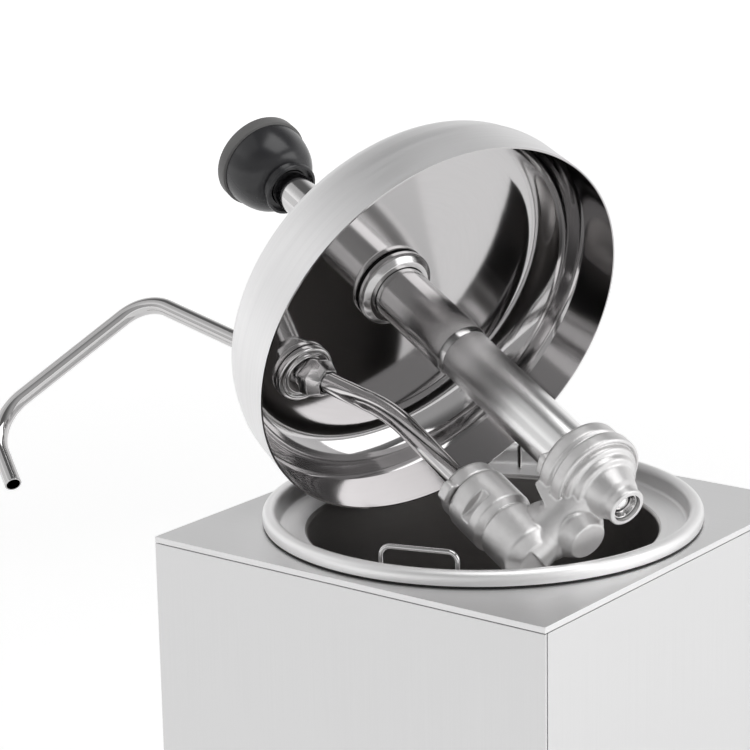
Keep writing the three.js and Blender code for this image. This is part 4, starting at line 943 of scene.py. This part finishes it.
def fitting():
    """The flange and its sleeve under the lid's hole, the conical nut on them, and the nut above."""
    leaning = PUMP @ rigid(FITTING, Vector((math.cos(LEAN), 0, -math.sin(LEAN))), LEAN_UP)
    ring = [
        (0, 37.4), (9.6, 37.4, 0.8), (10.2, 38.9, 0.5), (11.8, 37.3, 0.9), (14, 37.9, 1.2), (14, 40.7, 0.5),
        (0, 40.7),
    ]
    flange = spun("spout_flange_looks", rounded(ring, 0.3), PUMP, 96, shift=(FITTING_X, 0))
    sleeve = rounded([(0, -11), (6.5, -11, 0.3), (6.5, 9, 0.3), (0, 9)], 0.2)
    combined(flange, "UNION", spun("sleeve", sleeve, leaning, 64))
    bores = drum("feed_bore", 5, -14, 0, leaning), drum("spout_bore", 4.3, -0.3, 12, leaning)
    combined(flange, "DIFFERENCE", *bores)
    dressed(flange, SLEEVE, "pump", "spout_flange")
    nut = spun("spout_nut_looks", [(0, -16.5), (6.3, -16.5), (9.6, -11.2), (9.6, -6), (0, -6)], leaning, 6)
    cone = rounded([(0, -16.5), (6.2, -16.5, 0.3), (9.3, -11.4, 0.4), (9.3, -5, 0.4), (0, -5)], 0.3)
    combined(nut, "INTERSECT", spun("cone", cone, leaning, 96))
    bores = drum("wide", 6.8, -11.3, 0, leaning), drum("narrow", 5, -20, -6, leaning)
    combined(nut, "DIFFERENCE", *bores)
    combined(nut, "DIFFERENCE", block("above", (60, 60, 40), (FITTING_X, 0, 56.2), PUMP))
    dressed(softened(nut, 0.5, 3), SLEEVE, "pump", "spout_nut")
    top = prism("spout_top_nut_looks", regular(10.4, 6), -10.4, 6.8, leaning)
    cone = [(0, -11), (10.5, -11), (10.5, 5.4), (9.2, 6.8), (0, 6.8)]
    combined(top, "INTERSECT", spun("cone", cone, leaning, 96))
    below = block("below", (60, 60, 40), (FITTING_X, 0, 22.1), PUMP)
    combined(top, "DIFFERENCE", drum("bore", 6.8, -14, 10, leaning), below)
    dressed(softened(top, 0.2), POLISHED, "pump", "spout_top_nut")


# CAD nodes that stay, each in its own finish

KEPT = {
    ZINC: [
        "thermostat_shaft", "heater_plate", "clamp_bar", "clamp_nut", "spring_seat", "piston_rod", "piston",
    ],
    RUBBER: ["piston_seal"],
    CERAMIC: ["thermostat_body", "heater_element", "terminal_block"],
    COPPER: ["thermostat_probe"],
    BLACK: ["gland_locknut", "thermal_cutout"],
    WOOL: ["insulation_jacket"],
}


def kept_nodes():
    """Each gets its finish in the material slots that it already has."""
    for material, nodes in KEPT.items():
        for node in nodes:
            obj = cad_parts[node]
            for holder in obj.material_slots:
                holder.material = material


# Camera, fitted to the box edges and the rim in the photograph. Its place is in metres.

CAMERA_PLACE = Vector((0.6518, -0.9170, 0.5809))
AZIMUTH, ELEVATION, ROLL = (math.radians(a) for a in (37.71, 14.63, -1.11))
SENSOR, LENS = 36, 130.94


def camera():
    level = math.cos(ELEVATION)
    back = Vector((math.sin(AZIMUTH) * level, -math.cos(AZIMUTH) * level, math.sin(ELEVATION)))
    right = (-back).cross(Vector((0, 0, 1))).normalized()
    up = back.cross(right)
    right, up = right * math.cos(ROLL) + up * math.sin(ROLL), up * math.cos(ROLL) - right * math.sin(ROLL)
    data = bpy.data.cameras.new("camera")
    data.sensor_width, data.lens = SENSOR, LENS
    data.clip_start, data.clip_end = 0.05, 50
    obj = bpy.data.objects.new("camera", data)
    bpy.context.scene.collection.objects.link(obj)
    turn = Matrix((right, up, back)).transposed().to_4x4()
    obj.matrix_world = Matrix.Translation(CAMERA_PLACE) @ turn
    bpy.context.scene.camera = obj


# Studio. The room is pale up to the sine of one height and dark from the sine of another, and its pale
# walls are brighter towards BACKDROP. The floor is lit for the rays that see it, more so far away. Each
# lamp has its place, what it faces, its size and its watts. Lamps and FLOOR_LIGHT are in metres.

WALL_TOP, CEILING_LOW = 0.35, 0.8
FRONT_LEVEL, BACK_LEVEL, CEILING_LEVEL = 0.5, 0.95, 0.15
FRONT_END, BACK_START = -0.7, 0.5
BACKDROP = (-0.6, 0.8, 0)
FLOOR, FLOOR_TOP, FLOOR_BOTTOM = 9000, -12.02, -40
FLOOR_LIGHT = {"low": 0.48, "high": 0.9, "start": 0.8, "end": 3.0}
LAMPS = {
    "key": ((-1.15, -0.85, 1.75), (0, 0, 0.3), (1.6, 1.6), 4),
    "overhead": ((0.5, 0.1, 2.0), (0, 0, 0.2), (1.4, 1.4), 13),
    "right": ((1.7, 0.5, 0.9), (0, 0, 0.3), (1.3, 1.2), 9),
}


def area_light(name, place, target, size, power):
    data = bpy.data.lights.new(name, "AREA")
    data.shape = "RECTANGLE"
    data.size, data.size_y = size
    data.energy = power
    obj = bpy.data.objects.new(name, data)
    obj.visible_camera = False
    bpy.context.scene.collection.objects.link(obj)
    back = (Vector(place) - Vector(target)).normalized()
    obj.matrix_world = Matrix.Translation(Vector(place)) @ back.to_track_quat("Z", "Y").to_matrix().to_4x4()


def floor():
    """A wide disc under the feet, lit for the camera and in reflections."""
    outline = [(0, FLOOR_BOTTOM), (FLOOR, FLOOR_BOTTOM), (FLOOR, FLOOR_TOP), (0, FLOOR_TOP)]
    disc = spun("floor", outline, ROW, 128)
    n = Nodes("floor")
    n.set(Base_Color=n.colors(n.even(3, 2.0), (0.78, 0.78, 0.78), (0.76, 0.76, 0.76)), Roughness=0.7)
    seen = [n.add("LightPath", out=f"Is {ray} Ray") for ray in ("Camera", "Glossy", "Transmission")]
    seen = n.math("MAXIMUM", n.math("MAXIMUM", *seen[:2]), seen[2])
    reach = n.add("VectorMath", {0: n.add("TexCoord", out=3)}, out=1, operation="LENGTH")
    n.set(Emission_Color=(1, 1, 1, 1))
    n.set(Emission_Strength=n.math("MULTIPLY", seen, n.between(reach, **FLOOR_LIGHT)))
    disc.data.materials.append(n.material)


def room():
    """The walls and the ceiling round the object."""
    world = bpy.data.worlds.new("studio")
    bpy.context.scene.world = world
    world.use_nodes = True
    n = Tree(world.node_tree)
    toward = n.add("TexCoord", out="Generated")
    rise = n.add("SeparateXYZ", {0: toward}, out="Z")
    side = n.add("VectorMath", {0: toward, 1: BACKDROP}, out="Value", operation="DOT_PRODUCT")
    soft = {"interpolation_type": "SMOOTHSTEP"}
    walls = n.between(side, FRONT_LEVEL, BACK_LEVEL, FRONT_END, BACK_START, **soft)
    background = n.tree.nodes["Background"]
    background.inputs["Color"].default_value = (1, 1, 1, 1)
    level = n.between(rise, walls, CEILING_LEVEL, WALL_TOP, CEILING_LOW, **soft)
    n.join(background.inputs["Strength"], level)


def studio():
    floor()
    for name, values in LAMPS.items():
        area_light(name, *values)
    room()
    bpy.context.scene.view_settings.view_transform = "Standard"


camera()
cabinet()
case_screws()
dial()
switch()
lamp()
inlet()
vessel()
pot()
lid()
cylinder()
plunger()
valve()
tubes()
fitting()
kept_nodes()
studio()
